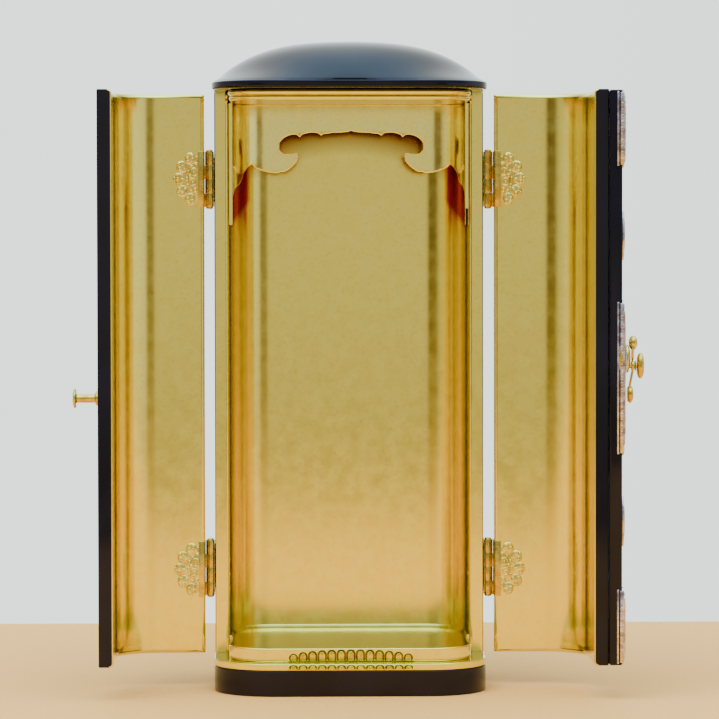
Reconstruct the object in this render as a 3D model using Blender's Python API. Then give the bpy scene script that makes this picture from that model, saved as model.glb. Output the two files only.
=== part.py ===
"""A miniature Buddhist shrine: a lacquered and gilded case with two bent doors.

Units are metres and +Z is up. The origin is the centre of the plinth's underside, and the
doors face -Y. The doors are modelled shut and then swung open about their hinge pins.
"""

import math

import bmesh
import bpy
from mathutils import Matrix, Vector

# Plan of the case, seen from above
CASE_WIDTH = 0.1005
CASE_DEPTH = 0.0820
DOOR_REACH = 0.0384
WALL = 0.0053
CORNER_RADIUS = 0.0221
CORNER_STEPS = 8

# Heights, from the table up
PLINTH_HEIGHT = 0.0095
SILL_THICKNESS = 0.0022
DAIS_HEIGHT = 0.0047
SHELL_HEIGHT = 0.2090
CEILING_THICKNESS = 0.0038
ROOF_RIM = 0.0028
ROOF_RISE = 0.0158
ROOF_OVERHANG = 0.0005
ROOF_FULLNESS = 3.0
ROOF_SHOULDER = 0.9

# Clearances
SEAT_GAP = 0.0003
BOARD_CLEARANCE = 0.0009
DOOR_FOOT_GAP = 0.0004
DOOR_HEAD_GAP = 0.0011
DOOR_MEETING_GAP = 0.0004
ARRIS = 0.0004

# Rows of petals along the front of the dais and of the sill
PETAL_COUNT = 13
PETAL_WIDTH = 0.0035
PETAL_RELIEF = 0.0004
PETAL_BITE = 0.0002
PETAL_STEPS = 3
PETAL_TOP_MARGIN = 0.0006

# Hinges
HINGE_HEIGHT = 0.0208
HINGE_SPREAD = 0.1454
HINGE_STAND_OFF = 0.00188
HINGE_SETBACK = 0.00155
KNUCKLE_RADIUS = 0.00178
KNUCKLE_COUNT = 4
KNUCKLE_SIDES = 14
PIN_SIDES = 10
PIN_RADIUS = 0.0008
PIN_PLAY = 0.0003
PIN_HEAD = 0.0005
LEAF_THICKNESS = 0.0005
LEAF_STRIP = 0.0024
LEAF_ROOT = 0.0007
FAN_REACH = 0.0096
FAN_PETALS = 7
FAN_STEPS = 2
FAN_SCALLOP = 0.10
FAN_RELIEF = 0.0007
LEFT_DOOR_OPEN = 89.0
RIGHT_DOOR_OPEN = 91.0

# Cover strip on the right door's meeting edge, with its gilt caps and leaves
STRIP_THICKNESS = 0.0042
STRIP_OVERHANG = 0.0027
STRIP_BEARING = 0.0042
STRIP_END_MARGIN = 0.0004
CAP_SHEET = 0.0006
CAP_FLANGE = 0.00035
CAP_FLANGE_DEPTH = 0.0020
CAP_TIP = 0.0040
END_CAP_HEIGHT = 0.0280
MIDDLE_CAP_HEIGHT = 0.0560
CAP_RIDGE = 0.0005
LEAF_ORNAMENT_HEIGHT = 0.0184
LEAF_ORNAMENT_WIDTH = 0.0046
LEAF_ORNAMENT_SLOT = 0.0008
LEAF_ORNAMENT_OFFSET = 0.0516

# Latch on the right door and the headed stud on the left door
LATCH_HEIGHT = 0.1208
LATCH_BOSS_RADIUS = 0.0040
LATCH_BOSS_RELIEF = 0.0016
LATCH_BOSS_STRETCH = 1.35
LATCH_NECK_RADIUS = 0.0009
LATCH_COLLAR_RADIUS = 0.0020
LATCH_COLLAR_THICKNESS = 0.0007
LATCH_HEAD_RADIUS = 0.0025
LATCH_HEAD_THICKNESS = 0.0024
LATCH_HEAD_STRETCH = 1.85
LATCH_REACH = 0.0066
HASP_LENGTH = 0.0102
HASP_WIDTH = 0.0022
HASP_SHEET = 0.0008
HASP_EYE_RADIUS = 0.0021
HASP_LOBE_HEIGHT = 0.0104
HASP_LOBE_WIDTH = 0.0046
HASP_BUTTON_RADIUS = 0.0033
HASP_BUTTON_RELIEF = 0.0014
STUD_RADIUS = 0.00155
STUD_LENGTH = 0.0092
STUD_HEAD_RADIUS = 0.0035
STUD_HEAD_THICKNESS = 0.0013
STUD_INSET = 0.0060
STUD_HEIGHT = 0.1093
STUD_PLATE_RADIUS = 0.0026
STUD_PLATE_THICKNESS = 0.0008
ROUND_SIDES = 16

# Cusped valance that hangs from the ceiling board
VALANCE_THICKNESS = 0.0015
VALANCE_BEND = 0.0139
VALANCE_SETBACK = 0.0165
VALANCE_BEND_CUTS = 9
VALANCE_MODULE = 0.0010
VALANCE_APEX_DROP = 0.0096
VALANCE_END_DROP = 0.0451

# Places worked out from the sizes above
HALF_WIDTH = CASE_WIDTH / 2
HALF_DEPTH = CASE_DEPTH / 2
JAMB_Y = DOOR_REACH - HALF_DEPTH
SILL_BASE = PLINTH_HEIGHT + SEAT_GAP
SILL_TOP = SILL_BASE + SILL_THICKNESS
DAIS_BASE = SILL_TOP + SEAT_GAP
DAIS_TOP = DAIS_BASE + DAIS_HEIGHT
SHELL_BASE = SILL_TOP + SEAT_GAP
SHELL_TOP = SHELL_BASE + SHELL_HEIGHT
ROOF_BASE = SHELL_TOP + SEAT_GAP
CEILING_BASE = SHELL_TOP - CEILING_THICKNESS
DOOR_BASE = SILL_TOP + DOOR_FOOT_GAP
DOOR_TOP = ROOF_BASE - DOOR_HEAD_GAP
DOOR_MIDDLE = (DOOR_BASE + DOOR_TOP) / 2
DOOR_EDGE_Y = JAMB_Y - SEAT_GAP
AXIS_X = HALF_WIDTH + HINGE_STAND_OFF
AXIS_Y = JAMB_Y + HINGE_SETBACK
HINGE_LEVELS = {"lower": DOOR_MIDDLE - HINGE_SPREAD / 2, "upper": DOOR_MIDDLE + HINGE_SPREAD / 2}
STRIP_WIDTH = STRIP_OVERHANG + STRIP_BEARING
STRIP_X = DOOR_MEETING_GAP / 2 + (STRIP_BEARING - STRIP_OVERHANG) / 2
STRIP_BACK_Y = -HALF_DEPTH - SEAT_GAP
STRIP_FRONT_Y = STRIP_BACK_Y - STRIP_THICKNESS
CAP_BACK_Y = STRIP_FRONT_Y - SEAT_GAP
CAP_FRONT_Y = CAP_BACK_Y - CAP_SHEET


def clear_scene():
    """Remove every object of the open file."""
    for old in list(bpy.data.objects):
        bpy.data.objects.remove(old, do_unlink=True)


def finish_colour(name, colour, metallic, roughness):
    """Make one Principled material."""
    finish = bpy.data.materials.new(name)
    finish.use_nodes = True
    shader = finish.node_tree.nodes["Principled BSDF"]
    shader.inputs["Base Color"].default_value = (*colour, 1.0)
    shader.inputs["Metallic"].default_value = metallic
    shader.inputs["Roughness"].default_value = roughness
    return finish


def make_object(name, shape, finish, smooth_angle=None):
    """Turn a bmesh into a named object with outward faces."""
    bmesh.ops.recalc_face_normals(shape, faces=shape.faces)
    mesh = bpy.data.meshes.new(name)
    shape.to_mesh(mesh)
    shape.free()
    mesh.materials.append(finish)
    if smooth_angle is not None:
        mesh.shade_smooth()
        mesh.set_sharp_from_angle(angle=math.radians(smooth_angle))
    made = bpy.data.objects.new(name, mesh)
    bpy.context.collection.objects.link(made)
    return made


def add_bevel(target, width):
    """Round the arrises of an object, but not the facets of its curves."""
    rounding = target.modifiers.new("arris", "BEVEL")
    rounding.width = width
    rounding.segments = 1
    rounding.limit_method = "ANGLE"
    rounding.angle_limit = math.radians(40)


def combine(target, tool, operation):
    """Join or cut two objects for good, with the bevel the first one has, and remove the tool."""
    step = target.modifiers.new("combine", "BOOLEAN")
    step.operation = operation
    step.solver = "EXACT"
    step.object = tool
    graph = bpy.context.evaluated_depsgraph_get()
    mesh = bpy.data.meshes.new_from_object(target.evaluated_get(graph))
    target.modifiers.clear()
    target.data = mesh
    bpy.data.objects.remove(tool, do_unlink=True)


def arc_points(centre, radius, start_deg, end_deg, steps):
    """Points of an arc about a centre in plan."""
    points = []
    for step in range(steps + 1):
        angle = math.radians(start_deg + (end_deg - start_deg) * step / steps)
        points.append((centre[0] + radius * math.cos(angle), centre[1] + radius * math.sin(angle)))
    return points


def circle_points(centre, radius, sides):
    """Corners of a regular outline about a centre in plan."""
    return arc_points(centre, radius, 0, 360 - 360 / sides, sides - 1)


def board_outline(inset):
    """Rounded rectangle that follows the case all round, set in by the inset."""
    radius = CORNER_RADIUS - inset
    across = HALF_WIDTH - CORNER_RADIUS
    along = HALF_DEPTH - CORNER_RADIUS
    centres = [(across, along), (-across, along), (-across, -along), (across, -along)]
    points = []
    for quarter, centre in enumerate(centres):
        points += arc_points(centre, radius, 90 * quarter, 90 * quarter + 90, CORNER_STEPS)
    return points


def shell_path(inset):
    """Line of the case wall from the left jamb round the back to the right jamb."""
    across = HALF_WIDTH - CORNER_RADIUS
    along = HALF_DEPTH - CORNER_RADIUS
    radius = CORNER_RADIUS - inset
    left = arc_points((-across, along), radius, 180, 90, CORNER_STEPS)
    right = arc_points((across, along), radius, 90, 0, CORNER_STEPS)
    return [(inset - HALF_WIDTH, JAMB_Y)] + left + right + [(HALF_WIDTH - inset, JAMB_Y)]


def door_path(inset):
    """Line of the left door, shut, from its hinge edge to its meeting edge."""
    centre = (CORNER_RADIUS - HALF_WIDTH, CORNER_RADIUS - HALF_DEPTH)
    bend = arc_points(centre, CORNER_RADIUS - inset, 180, 270, CORNER_STEPS)
    meeting = (-DOOR_MEETING_GAP / 2, inset - HALF_DEPTH)
    return [(inset - HALF_WIDTH, DOOR_EDGE_Y)] + bend + [meeting]


def prism(outline, low, high):
    """Closed solid between two heights over an outline in plan."""
    shape = bmesh.new()
    corners = [shape.verts.new((x, y, low)) for x, y in outline]
    base = shape.faces.new(corners)
    lifted = bmesh.ops.extrude_face_region(shape, geom=[base])
    top = [part for part in lifted["geom"] if isinstance(part, bmesh.types.BMVert)]
    bmesh.ops.translate(shape, verts=top, vec=(0, 0, high - low))
    return shape


def wall(outer, inner, low, high):
    """Closed solid of a bent wall between two lines of the same number of points."""
    shape = bmesh.new()
    lines = []
    for line, level in ((outer, low), (outer, high), (inner, high), (inner, low)):
        lines.append([shape.verts.new((x, y, level)) for x, y in line])
    for side, line in enumerate(lines):
        beside = lines[(side + 1) % len(lines)]
        for step in range(len(line) - 1):
            shape.faces.new((line[step], line[step + 1], beside[step + 1], beside[step]))
    for end in (0, -1):
        shape.faces.new([line[end] for line in lines])
    return shape


def box(low, high):
    """Closed block between two corners."""
    shape = bmesh.new()
    size = Vector(high) - Vector(low)
    middle = (Vector(high) + Vector(low)) / 2
    bmesh.ops.create_cube(shape, size=1.0, matrix=Matrix.LocRotScale(middle, None, size))
    return shape


def turned(profile, sides=ROUND_SIDES):
    """Closed turned solid about -Y from a profile of (distance out from the door, radius)."""
    shape = bmesh.new()
    rings = []
    for reach, radius in profile:
        ring = []
        for side in range(sides):
            angle = math.tau * side / sides
            ring.append(shape.verts.new((radius * math.cos(angle), -reach, radius * math.sin(angle))))
        rings.append(ring)
    for ring, outer in zip(rings, rings[1:]):
        for side in range(sides):
            after = (side + 1) % sides
            shape.faces.new((ring[side], ring[after], outer[after], outer[side]))
    shape.faces.new(rings[0])
    shape.faces.new(rings[-1])
    return shape


def barrel_solid(radius, low, high):
    """Closed vertical cylinder about the pin axis."""
    return prism(circle_points((0, 0), radius, KNUCKLE_SIDES), low, high)


def petal_row(front_y, base, height, arched):
    """Row of upright rounded petals that bites a little into the face behind it."""
    shape = bmesh.new()
    half_length = PETAL_COUNT * PETAL_WIDTH / 2
    front = []
    back = []
    for column in range(PETAL_COUNT * PETAL_STEPS + 1):
        x = column * PETAL_WIDTH / PETAL_STEPS - half_length
        swell = abs(math.sin(math.pi * column / PETAL_STEPS))
        proud = front_y - PETAL_RELIEF * (0.25 + 0.75 * swell)
        reach = math.sqrt(max(0.0, 1.0 - (0.97 * x / half_length) ** 2)) if arched else 1.0
        top = base + height * (0.82 * reach + 0.18 * swell * reach)
        shoulder = base + (top - base) * 0.8
        levels = ((proud, base), (proud, shoulder), (front_y - PETAL_RELIEF * 0.2, top))
        front.append([shape.verts.new((x, y, z)) for y, z in levels])
        back.append([shape.verts.new((x, front_y + PETAL_BITE, z)) for _, z in levels])
    for side in (front, back):
        for column, beside in zip(side, side[1:]):
            for row in range(2):
                shape.faces.new((column[row], beside[row], beside[row + 1], column[row + 1]))
    for row in (0, -1):
        for step in range(len(front) - 1):
            ends = (front[step][row], front[step + 1][row], back[step + 1][row], back[step][row])
            shape.faces.new(ends)
    for end in (0, -1):
        for row in range(2):
            shape.faces.new((front[end][row], front[end][row + 1], back[end][row + 1], back[end][row]))
    return shape


def build_boards(lacquer, gilt):
    """Plinth, sill plate, dais and ceiling board, one above the other."""
    plinth = make_object("plinth", prism(board_outline(0), 0, PLINTH_HEIGHT), lacquer)
    add_bevel(plinth, ARRIS)

    sill = make_object("sill_plate", prism(board_outline(0), SILL_BASE, SILL_TOP), gilt)
    sill_height = SILL_THICKNESS - PETAL_TOP_MARGIN
    sill_petals = petal_row(-HALF_DEPTH, SILL_BASE + PETAL_TOP_MARGIN / 2, sill_height, False)
    combine(sill, make_object("petals", sill_petals, gilt), "UNION")

    board_inset = WALL + BOARD_CLEARANCE
    dais = make_object("dais", prism(board_outline(board_inset), DAIS_BASE, DAIS_TOP), gilt)
    dais_petals = petal_row(board_inset - HALF_DEPTH, DAIS_BASE, DAIS_HEIGHT - PETAL_TOP_MARGIN, True)
    combine(dais, make_object("petals", dais_petals, gilt), "UNION")

    ceiling = make_object("ceiling_board", prism(board_outline(board_inset), CEILING_BASE, SHELL_TOP), gilt)
    add_bevel(ceiling, ARRIS)


def build_shell(lacquer):
    """Bent wall of the case."""
    shell = make_object("case_shell", wall(shell_path(0), shell_path(WALL), SHELL_BASE, SHELL_TOP), lacquer)
    add_bevel(shell, ARRIS)


def build_roof(lacquer):
    """Cushion-shaped roof board with a flat underside and an upright rim."""
    shape = bmesh.new()
    outline = board_outline(-ROOF_OVERHANG)
    steps = (1.0, 0.985, 0.95, 0.89, 0.80, 0.68, 0.52, 0.33, 0.14)
    levels = [(1.0 - ARRIS / HALF_WIDTH, ROOF_BASE), (1.0, ROOF_BASE + ARRIS)]
    for share in steps:
        rise = ROOF_RISE * (1.0 - share ** ROOF_FULLNESS) ** ROOF_SHOULDER
        levels.append((share, ROOF_BASE + ROOF_RIM + rise))
    rings = []
    for share, level in levels:
        rings.append([shape.verts.new((x * share, y * share, level)) for x, y in outline])
    for ring, above in zip(rings, rings[1:]):
        for step in range(len(ring)):
            after = (step + 1) % len(ring)
            shape.faces.new((ring[step], ring[after], above[after], above[step]))
    shape.faces.new(rings[0])
    crown = shape.verts.new((0, 0, ROOF_BASE + ROOF_RIM + ROOF_RISE))
    for step in range(len(rings[-1])):
        after = (step + 1) % len(rings[-1])
        shape.faces.new((rings[-1][step], rings[-1][after], crown))
    make_object("roof", shape, lacquer, smooth_angle=30)


def bulged(start, end, bulge, steps):
    """Points after the start of an arc to the end, raised by the bulge to its left."""
    start = Vector(start)
    end = Vector(end)
    along = end - start
    left = Vector((-along.y, along.x)).normalized()
    points = []
    for step in range(1, steps + 1):
        share = step / steps
        points.append(tuple(start + along * share + left * bulge * math.sin(math.pi * share)))
    return points


def valance_edge():
    """Lower edge of the right half: distance from the middle along the sheet, drop below its top.

    Each curve gives its end and its bulge in modules, and its number of steps.
    """
    curves = (
        ((11.4, 11.7), 0.4, 3),
        ((19.6, 12.5), 1.3, 5),
        ((27.2, 15.2), 2.0, 5),
        ((20.6, 18.8), 2.6, 5),
        ((20.3, 20.5), 0.0, 1),
        ((27.0, 25.9), -1.4, 5),
        ((38.2, 22.8), -1.2, 5),
        ((42.6, 27.0), 0.6, 3),
        ((45.6, 30.2), -0.5, 3),
        ((52.6, 36.0), 0.4, 4),
    )
    points = [(0.0, -VALANCE_APEX_DROP)]
    for (reach, drop), bulge, steps in curves:
        end = (reach * VALANCE_MODULE, -drop * VALANCE_MODULE)
        points += bulged(points[-1], end, bulge * VALANCE_MODULE, steps)
    return points


def build_valance(gilt):
    """Cusped sheet, cut out flat and then bent round to follow the case wall."""
    top = CEILING_BASE - SEAT_GAP
    side_x = HALF_WIDTH - WALL - SEAT_GAP - VALANCE_THICKNESS / 2
    flat_half = side_x - VALANCE_BEND
    bend_length = VALANCE_BEND * math.pi / 2
    side_length = VALANCE_SETBACK - VALANCE_BEND
    half_length = flat_half + bend_length + side_length
    right = valance_edge()
    right += bulged(right[-1], (half_length, -VALANCE_END_DROP), VALANCE_THICKNESS / 2, 4)
    left = [(-reach, drop) for reach, drop in reversed(right[1:])]
    outline = [(half_length, 0.0), (-half_length, 0.0)] + left + right

    shape = bmesh.new()
    shape.faces.new([shape.verts.new((reach, 0, drop)) for reach, drop in outline])
    for side in (-1, 1):
        for cut in range(VALANCE_BEND_CUTS + 1):
            place = side * (flat_half + bend_length * cut / VALANCE_BEND_CUTS)
            every = shape.verts[:] + shape.edges[:] + shape.faces[:]
            bmesh.ops.bisect_plane(shape, geom=every, plane_co=(place, 0, 0), plane_no=(1, 0, 0))
    sheet = bmesh.ops.extrude_face_region(shape, geom=shape.faces[:])
    for corner in sheet["geom"]:
        if isinstance(corner, bmesh.types.BMVert):
            corner.co.y += VALANCE_THICKNESS

    crossing_y = JAMB_Y + VALANCE_SETBACK
    for corner in shape.verts:
        reach = abs(corner.co.x)
        side = math.copysign(1.0, corner.co.x)
        offset = corner.co.y - VALANCE_THICKNESS / 2
        if reach <= flat_half:
            plan = (reach, crossing_y + offset)
        elif reach <= flat_half + bend_length:
            turn = (reach - flat_half) / VALANCE_BEND
            radius = VALANCE_BEND + offset
            centre_y = crossing_y - VALANCE_BEND
            plan = (flat_half + radius * math.sin(turn), centre_y + radius * math.cos(turn))
        else:
            plan = (side_x + offset, crossing_y - VALANCE_BEND - (reach - flat_half - bend_length))
        corner.co = (side * plan[0], plan[1], top + corner.co.z)
    make_object("valance", shape, gilt)


def fan_relief():
    """Half-round embossed fan: reach along +X, height along Z, relief towards -Y."""
    sectors = FAN_PETALS * FAN_STEPS
    profile = ((0.0, 0.9), (0.28, 1.0), (0.45, 0.55), (0.72, 1.0), (0.94, 0.75), (1.0, 0.45))
    shape = bmesh.new()
    rows = []
    for share, relief in profile:
        row = []
        for sector in range(sectors + 1):
            angle = math.pi * sector / sectors - math.pi / 2
            ripple = abs(math.sin(math.pi * sector / FAN_STEPS))
            edge = 1.0 - FAN_SCALLOP * (1.0 - ripple) * share
            x = FAN_REACH * share * edge * math.cos(angle)
            z = HINGE_HEIGHT / 2 * share * edge * math.sin(angle)
            height = FAN_RELIEF * relief * (1.0 - 0.35 * (1.0 - ripple) * share)
            row.append((x, -LEAF_THICKNESS - height, z))
        rows.append(row)
    centre = shape.verts.new(rows[0][0])
    grid = [[shape.verts.new(place) for place in row] for row in rows[1:]]
    base = [shape.verts.new((x, 0.0, z)) for x, _, z in rows[-1]]
    base_centre = shape.verts.new((0.0, 0.0, 0.0))
    for sector in range(sectors):
        after = sector + 1
        shape.faces.new((centre, grid[0][sector], grid[0][after]))
        for row, beyond in zip(grid, grid[1:] + [base]):
            shape.faces.new((row[sector], beyond[sector], beyond[after], row[after]))
        shape.faces.new((base_centre, base[sector], base[after]))
    for end in (0, sectors):
        rim = [row[end] for row in grid]
        shape.faces.new([centre] + rim + [base[end], base_centre])
    return shape


def knuckle_spans(first):
    """Low and high of every second knuckle about a hinge's middle, counted from the top."""
    pitch = HINGE_HEIGHT / KNUCKLE_COUNT
    spans = []
    for knuckle in range(first, KNUCKLE_COUNT, 2):
        high = HINGE_HEIGHT / 2 - pitch * knuckle
        spans.append((high - pitch + SEAT_GAP / 2, high - SEAT_GAP / 2))
    return spans


def knuckle_leaf(name, plates, first, brass):
    """Leaf with its own knuckles, cleared for the other leaf's, about the pin at the origin."""
    leaf = make_object(name, plates[0], brass)
    for plate in plates[1:]:
        combine(leaf, make_object("plate", plate, brass), "UNION")
    for low, high in knuckle_spans(1 - first):
        relief = barrel_solid(KNUCKLE_RADIUS + SEAT_GAP, low - SEAT_GAP, high + SEAT_GAP)
        combine(leaf, make_object("clearance", relief, brass), "DIFFERENCE")
    for low, high in knuckle_spans(first):
        barrel = barrel_solid(KNUCKLE_RADIUS, low, high)
        combine(leaf, make_object("barrel", barrel, brass), "UNION")
    bore = barrel_solid(PIN_RADIUS + PIN_PLAY, -HINGE_HEIGHT, HINGE_HEIGHT)
    combine(leaf, make_object("bore", bore, brass), "DIFFERENCE")
    leaf.data.shade_smooth()
    leaf.data.set_sharp_from_angle(angle=math.radians(35))
    return leaf


def door_leaf_plates():
    """Plates of the leaf that wraps round the left door's edge, about the pin axis, door shut."""
    half = HINGE_HEIGHT / 2
    edge_y = DOOR_EDGE_Y - AXIS_Y
    inner_x = HINGE_STAND_OFF + WALL + SEAT_GAP
    root = box((-LEAF_ROOT, edge_y - LEAF_THICKNESS, -half), (LEAF_ROOT, -PIN_RADIUS, half))
    across = box((-LEAF_ROOT, edge_y - LEAF_THICKNESS, -half), (inner_x + LEAF_THICKNESS, edge_y, half))
    strip_end = edge_y - LEAF_STRIP
    strip = box((inner_x, strip_end, -half), (inner_x + LEAF_THICKNESS, edge_y, half))
    fan = fan_relief()
    turn = Matrix.Translation((inner_x, strip_end + SEAT_GAP, 0))
    turn = turn @ Matrix.Rotation(math.radians(-90), 4, "Z") @ Matrix.Scale(-1, 4, (0, 1, 0))
    bmesh.ops.transform(fan, matrix=turn, verts=fan.verts)
    return [root, across, strip, fan]


def case_leaf_plates():
    """Plates of the leaf on the outside of the case, about the left pin axis."""
    half = HINGE_HEIGHT / 2
    outer_x = HINGE_STAND_OFF - SEAT_GAP - LEAF_THICKNESS
    front = -KNUCKLE_RADIUS / 2
    strip_end = KNUCKLE_RADIUS + LEAF_STRIP
    strip = box((outer_x, front, -half), (outer_x + LEAF_THICKNESS, strip_end, half))
    fan = fan_relief()
    turn = Matrix.Translation((outer_x + LEAF_THICKNESS, strip_end - SEAT_GAP, 0))
    turn = turn @ Matrix.Rotation(math.radians(90), 4, "Z") @ Matrix.Scale(-1, 4, (0, 1, 0))
    bmesh.ops.transform(fan, matrix=turn, verts=fan.verts)
    return [strip, fan]


def pin_solid():
    """Hinge pin with a small button at each end."""
    half = HINGE_HEIGHT / 2
    head = KNUCKLE_RADIUS * 0.75
    levels = (
        (-half - SEAT_GAP - PIN_HEAD, head * 0.6),
        (-half - SEAT_GAP - PIN_HEAD / 2, head),
        (-half - SEAT_GAP, head),
        (-half - SEAT_GAP, PIN_RADIUS),
        (half + SEAT_GAP, PIN_RADIUS),
        (half + SEAT_GAP, head),
        (half + SEAT_GAP + PIN_HEAD / 2, head),
        (half + SEAT_GAP + PIN_HEAD, head * 0.6),
    )
    shape = turned([(-level, radius) for level, radius in reversed(levels)], PIN_SIDES)
    upright = Matrix.Rotation(math.radians(-90), 3, "X")
    bmesh.ops.rotate(shape, cent=(0, 0, 0), matrix=upright, verts=shape.verts)
    return shape


def placed_copy(source, name, place, mirrored):
    """Copy of a piece made about the left pin axis, at a place, mirrored for the right side."""
    shape = bmesh.new()
    shape.from_mesh(source.data)
    if mirrored:
        bmesh.ops.scale(shape, vec=(-1, 1, 1), verts=shape.verts)
        bmesh.ops.reverse_faces(shape, faces=shape.faces)
    bmesh.ops.translate(shape, vec=place, verts=shape.verts)
    mesh = bpy.data.meshes.new(name)
    shape.to_mesh(mesh)
    shape.free()
    mesh.materials.append(source.data.materials[0])
    made = bpy.data.objects.new(name, mesh)
    bpy.context.collection.objects.link(made)
    return made


def build_hinges(brass, left_axis, right_axis):
    """Four brass hinges, each with a case leaf, a door leaf and a pin."""
    case_leaf = knuckle_leaf("case_leaf", case_leaf_plates(), 0, brass)
    door_leaf = knuckle_leaf("door_leaf", door_leaf_plates(), 1, brass)
    pin = make_object("pin", pin_solid(), brass, smooth_angle=35)
    for side, axis, sign in (("left", left_axis, -1), ("right", right_axis, 1)):
        for level_name, level in HINGE_LEVELS.items():
            mirrored = sign > 0
            place = (sign * AXIS_X, AXIS_Y, level)
            placed_copy(case_leaf, f"{side}_{level_name}_case_leaf", place, mirrored)
            placed_copy(pin, f"{side}_{level_name}_hinge_pin", place, mirrored)
            leaf = placed_copy(door_leaf, f"{side}_{level_name}_door_leaf", (0, 0, level), mirrored)
            leaf.parent = axis
    for pattern in (case_leaf, door_leaf, pin):
        bpy.data.objects.remove(pattern, do_unlink=True)


def axis_empty(name, place, open_deg):
    """Empty on a pin axis, turned as the door stands open."""
    empty = bpy.data.objects.new(name, None)
    empty.location = place
    empty.rotation_euler = (0, 0, math.radians(open_deg))
    bpy.context.collection.objects.link(empty)
    return empty


def hang_on(piece, axis, place):
    """Give a piece that is modelled in the shut position to an axis at a place."""
    piece.data.transform(Matrix.Translation(-Vector(place)))
    piece.parent = axis


def build_door(side, sign, lacquer):
    """Door board bent round the corner, with its edge let in for the two hinge leaves."""
    outer = [(-sign * x, y) for x, y in door_path(0)]
    inner = [(-sign * x, y) for x, y in door_path(WALL)]
    door = make_object(f"door_{side}", wall(outer, inner, DOOR_BASE, DOOR_TOP), lacquer)
    add_bevel(door, ARRIS)
    depth = LEAF_THICKNESS + SEAT_GAP
    for level in HINGE_LEVELS.values():
        half = HINGE_HEIGHT / 2 + SEAT_GAP
        reach = sorted((sign * (HALF_WIDTH + WALL), sign * (HALF_WIDTH - 2 * WALL)))
        low = (reach[0], DOOR_EDGE_Y - depth, level - half)
        high = (reach[1], DOOR_EDGE_Y + WALL, level + half)
        combine(door, make_object("housing", box(low, high), lacquer), "DIFFERENCE")
    return door


def stretched(shape, stretch, level):
    """Stretch a turned solid upright about its own middle, and lift it."""
    bmesh.ops.scale(shape, vec=(1, 1, stretch), verts=shape.verts)
    bmesh.ops.translate(shape, vec=(0, 0, level), verts=shape.verts)
    return shape


def pointed_leaf(width, height, steps):
    """Upright leaf outline with a point at each end, about its own middle."""
    half = height / 2
    left = []
    for step in range(1, steps):
        share = step / steps
        swell = math.sin(math.pi * share) ** 0.8
        left.append((-width / 2 * swell, half - height * share))
    right = [(-x, z) for x, z in reversed(left)]
    return [(0.0, half)] + left + [(0.0, -half)] + right


def ogee_outline(width, height, tip):
    """Upright plate outline with a cusped point at each end."""
    half = width / 2
    straight = height / 2 - tip
    corner = (
        (half, straight),
        (half * 0.62, straight + tip * 0.10),
        (half * 0.74, straight + tip * 0.36),
        (half * 0.46, straight + tip * 0.60),
        (half * 0.14, straight + tip * 0.74),
        (0.0, height / 2),
    )
    upper = list(corner) + [(-x, z) for x, z in reversed(corner[:-1])]
    lower = [(-x, -z) for x, z in upper]
    return upper + lower


def upright_plate(outline, back_y, front_y):
    """Closed plate that stands in the XZ plane."""
    shape = bmesh.new()
    face = shape.faces.new([shape.verts.new((x, back_y, z)) for x, z in outline])
    raised = bmesh.ops.extrude_face_region(shape, geom=[face])
    front = [part for part in raised["geom"] if isinstance(part, bmesh.types.BMVert)]
    bmesh.ops.translate(shape, verts=front, vec=(0, front_y - back_y, 0))
    return shape


def build_cap(name, middle_z, height, brass):
    """Sheet cap over the cover strip: a cusped front plate, a raised panel and two flanges."""
    half = STRIP_WIDTH / 2
    outer = half + SEAT_GAP + CAP_FLANGE
    front = upright_plate(ogee_outline(2 * outer, height, CAP_TIP), CAP_BACK_Y, CAP_FRONT_Y)
    cap = make_object(name, front, brass)
    flange_back = CAP_BACK_Y + CAP_FLANGE_DEPTH
    straight = height / 2 - CAP_TIP
    for sign in (-1, 1):
        edges = sorted((sign * (half + SEAT_GAP), sign * outer))
        flange = box((edges[0], CAP_FRONT_Y + CAP_SHEET / 2, -straight), (edges[1], flange_back, straight))
        combine(cap, make_object("flange", flange, brass), "UNION")
    panel_outline = ogee_outline(STRIP_WIDTH * 0.62, height * 0.86, CAP_TIP)
    panel = upright_plate(panel_outline, CAP_FRONT_Y + CAP_SHEET / 2, CAP_FRONT_Y - CAP_RIDGE)
    combine(cap, make_object("panel", panel, brass), "UNION")
    cap.data.transform(Matrix.Translation((STRIP_X, 0, middle_z)))
    return cap


def build_leaf_ornament(name, middle_z, brass):
    """Pointed leaf split by a slot down its middle, on the face of the cover strip."""
    outline = pointed_leaf(LEAF_ORNAMENT_WIDTH, LEAF_ORNAMENT_HEIGHT, 8)
    leaf = make_object(name, upright_plate(outline, CAP_BACK_Y, CAP_FRONT_Y), brass)
    slot_half = LEAF_ORNAMENT_SLOT / 2
    slot_length = LEAF_ORNAMENT_HEIGHT * 0.3
    slot_low = (-slot_half, CAP_FRONT_Y - CAP_SHEET, -slot_length)
    slot = box(slot_low, (slot_half, CAP_BACK_Y + CAP_SHEET, slot_length))
    combine(leaf, make_object("slot", slot, brass), "DIFFERENCE")
    leaf.data.transform(Matrix.Translation((STRIP_X, 0, middle_z)))
    return leaf


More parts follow.
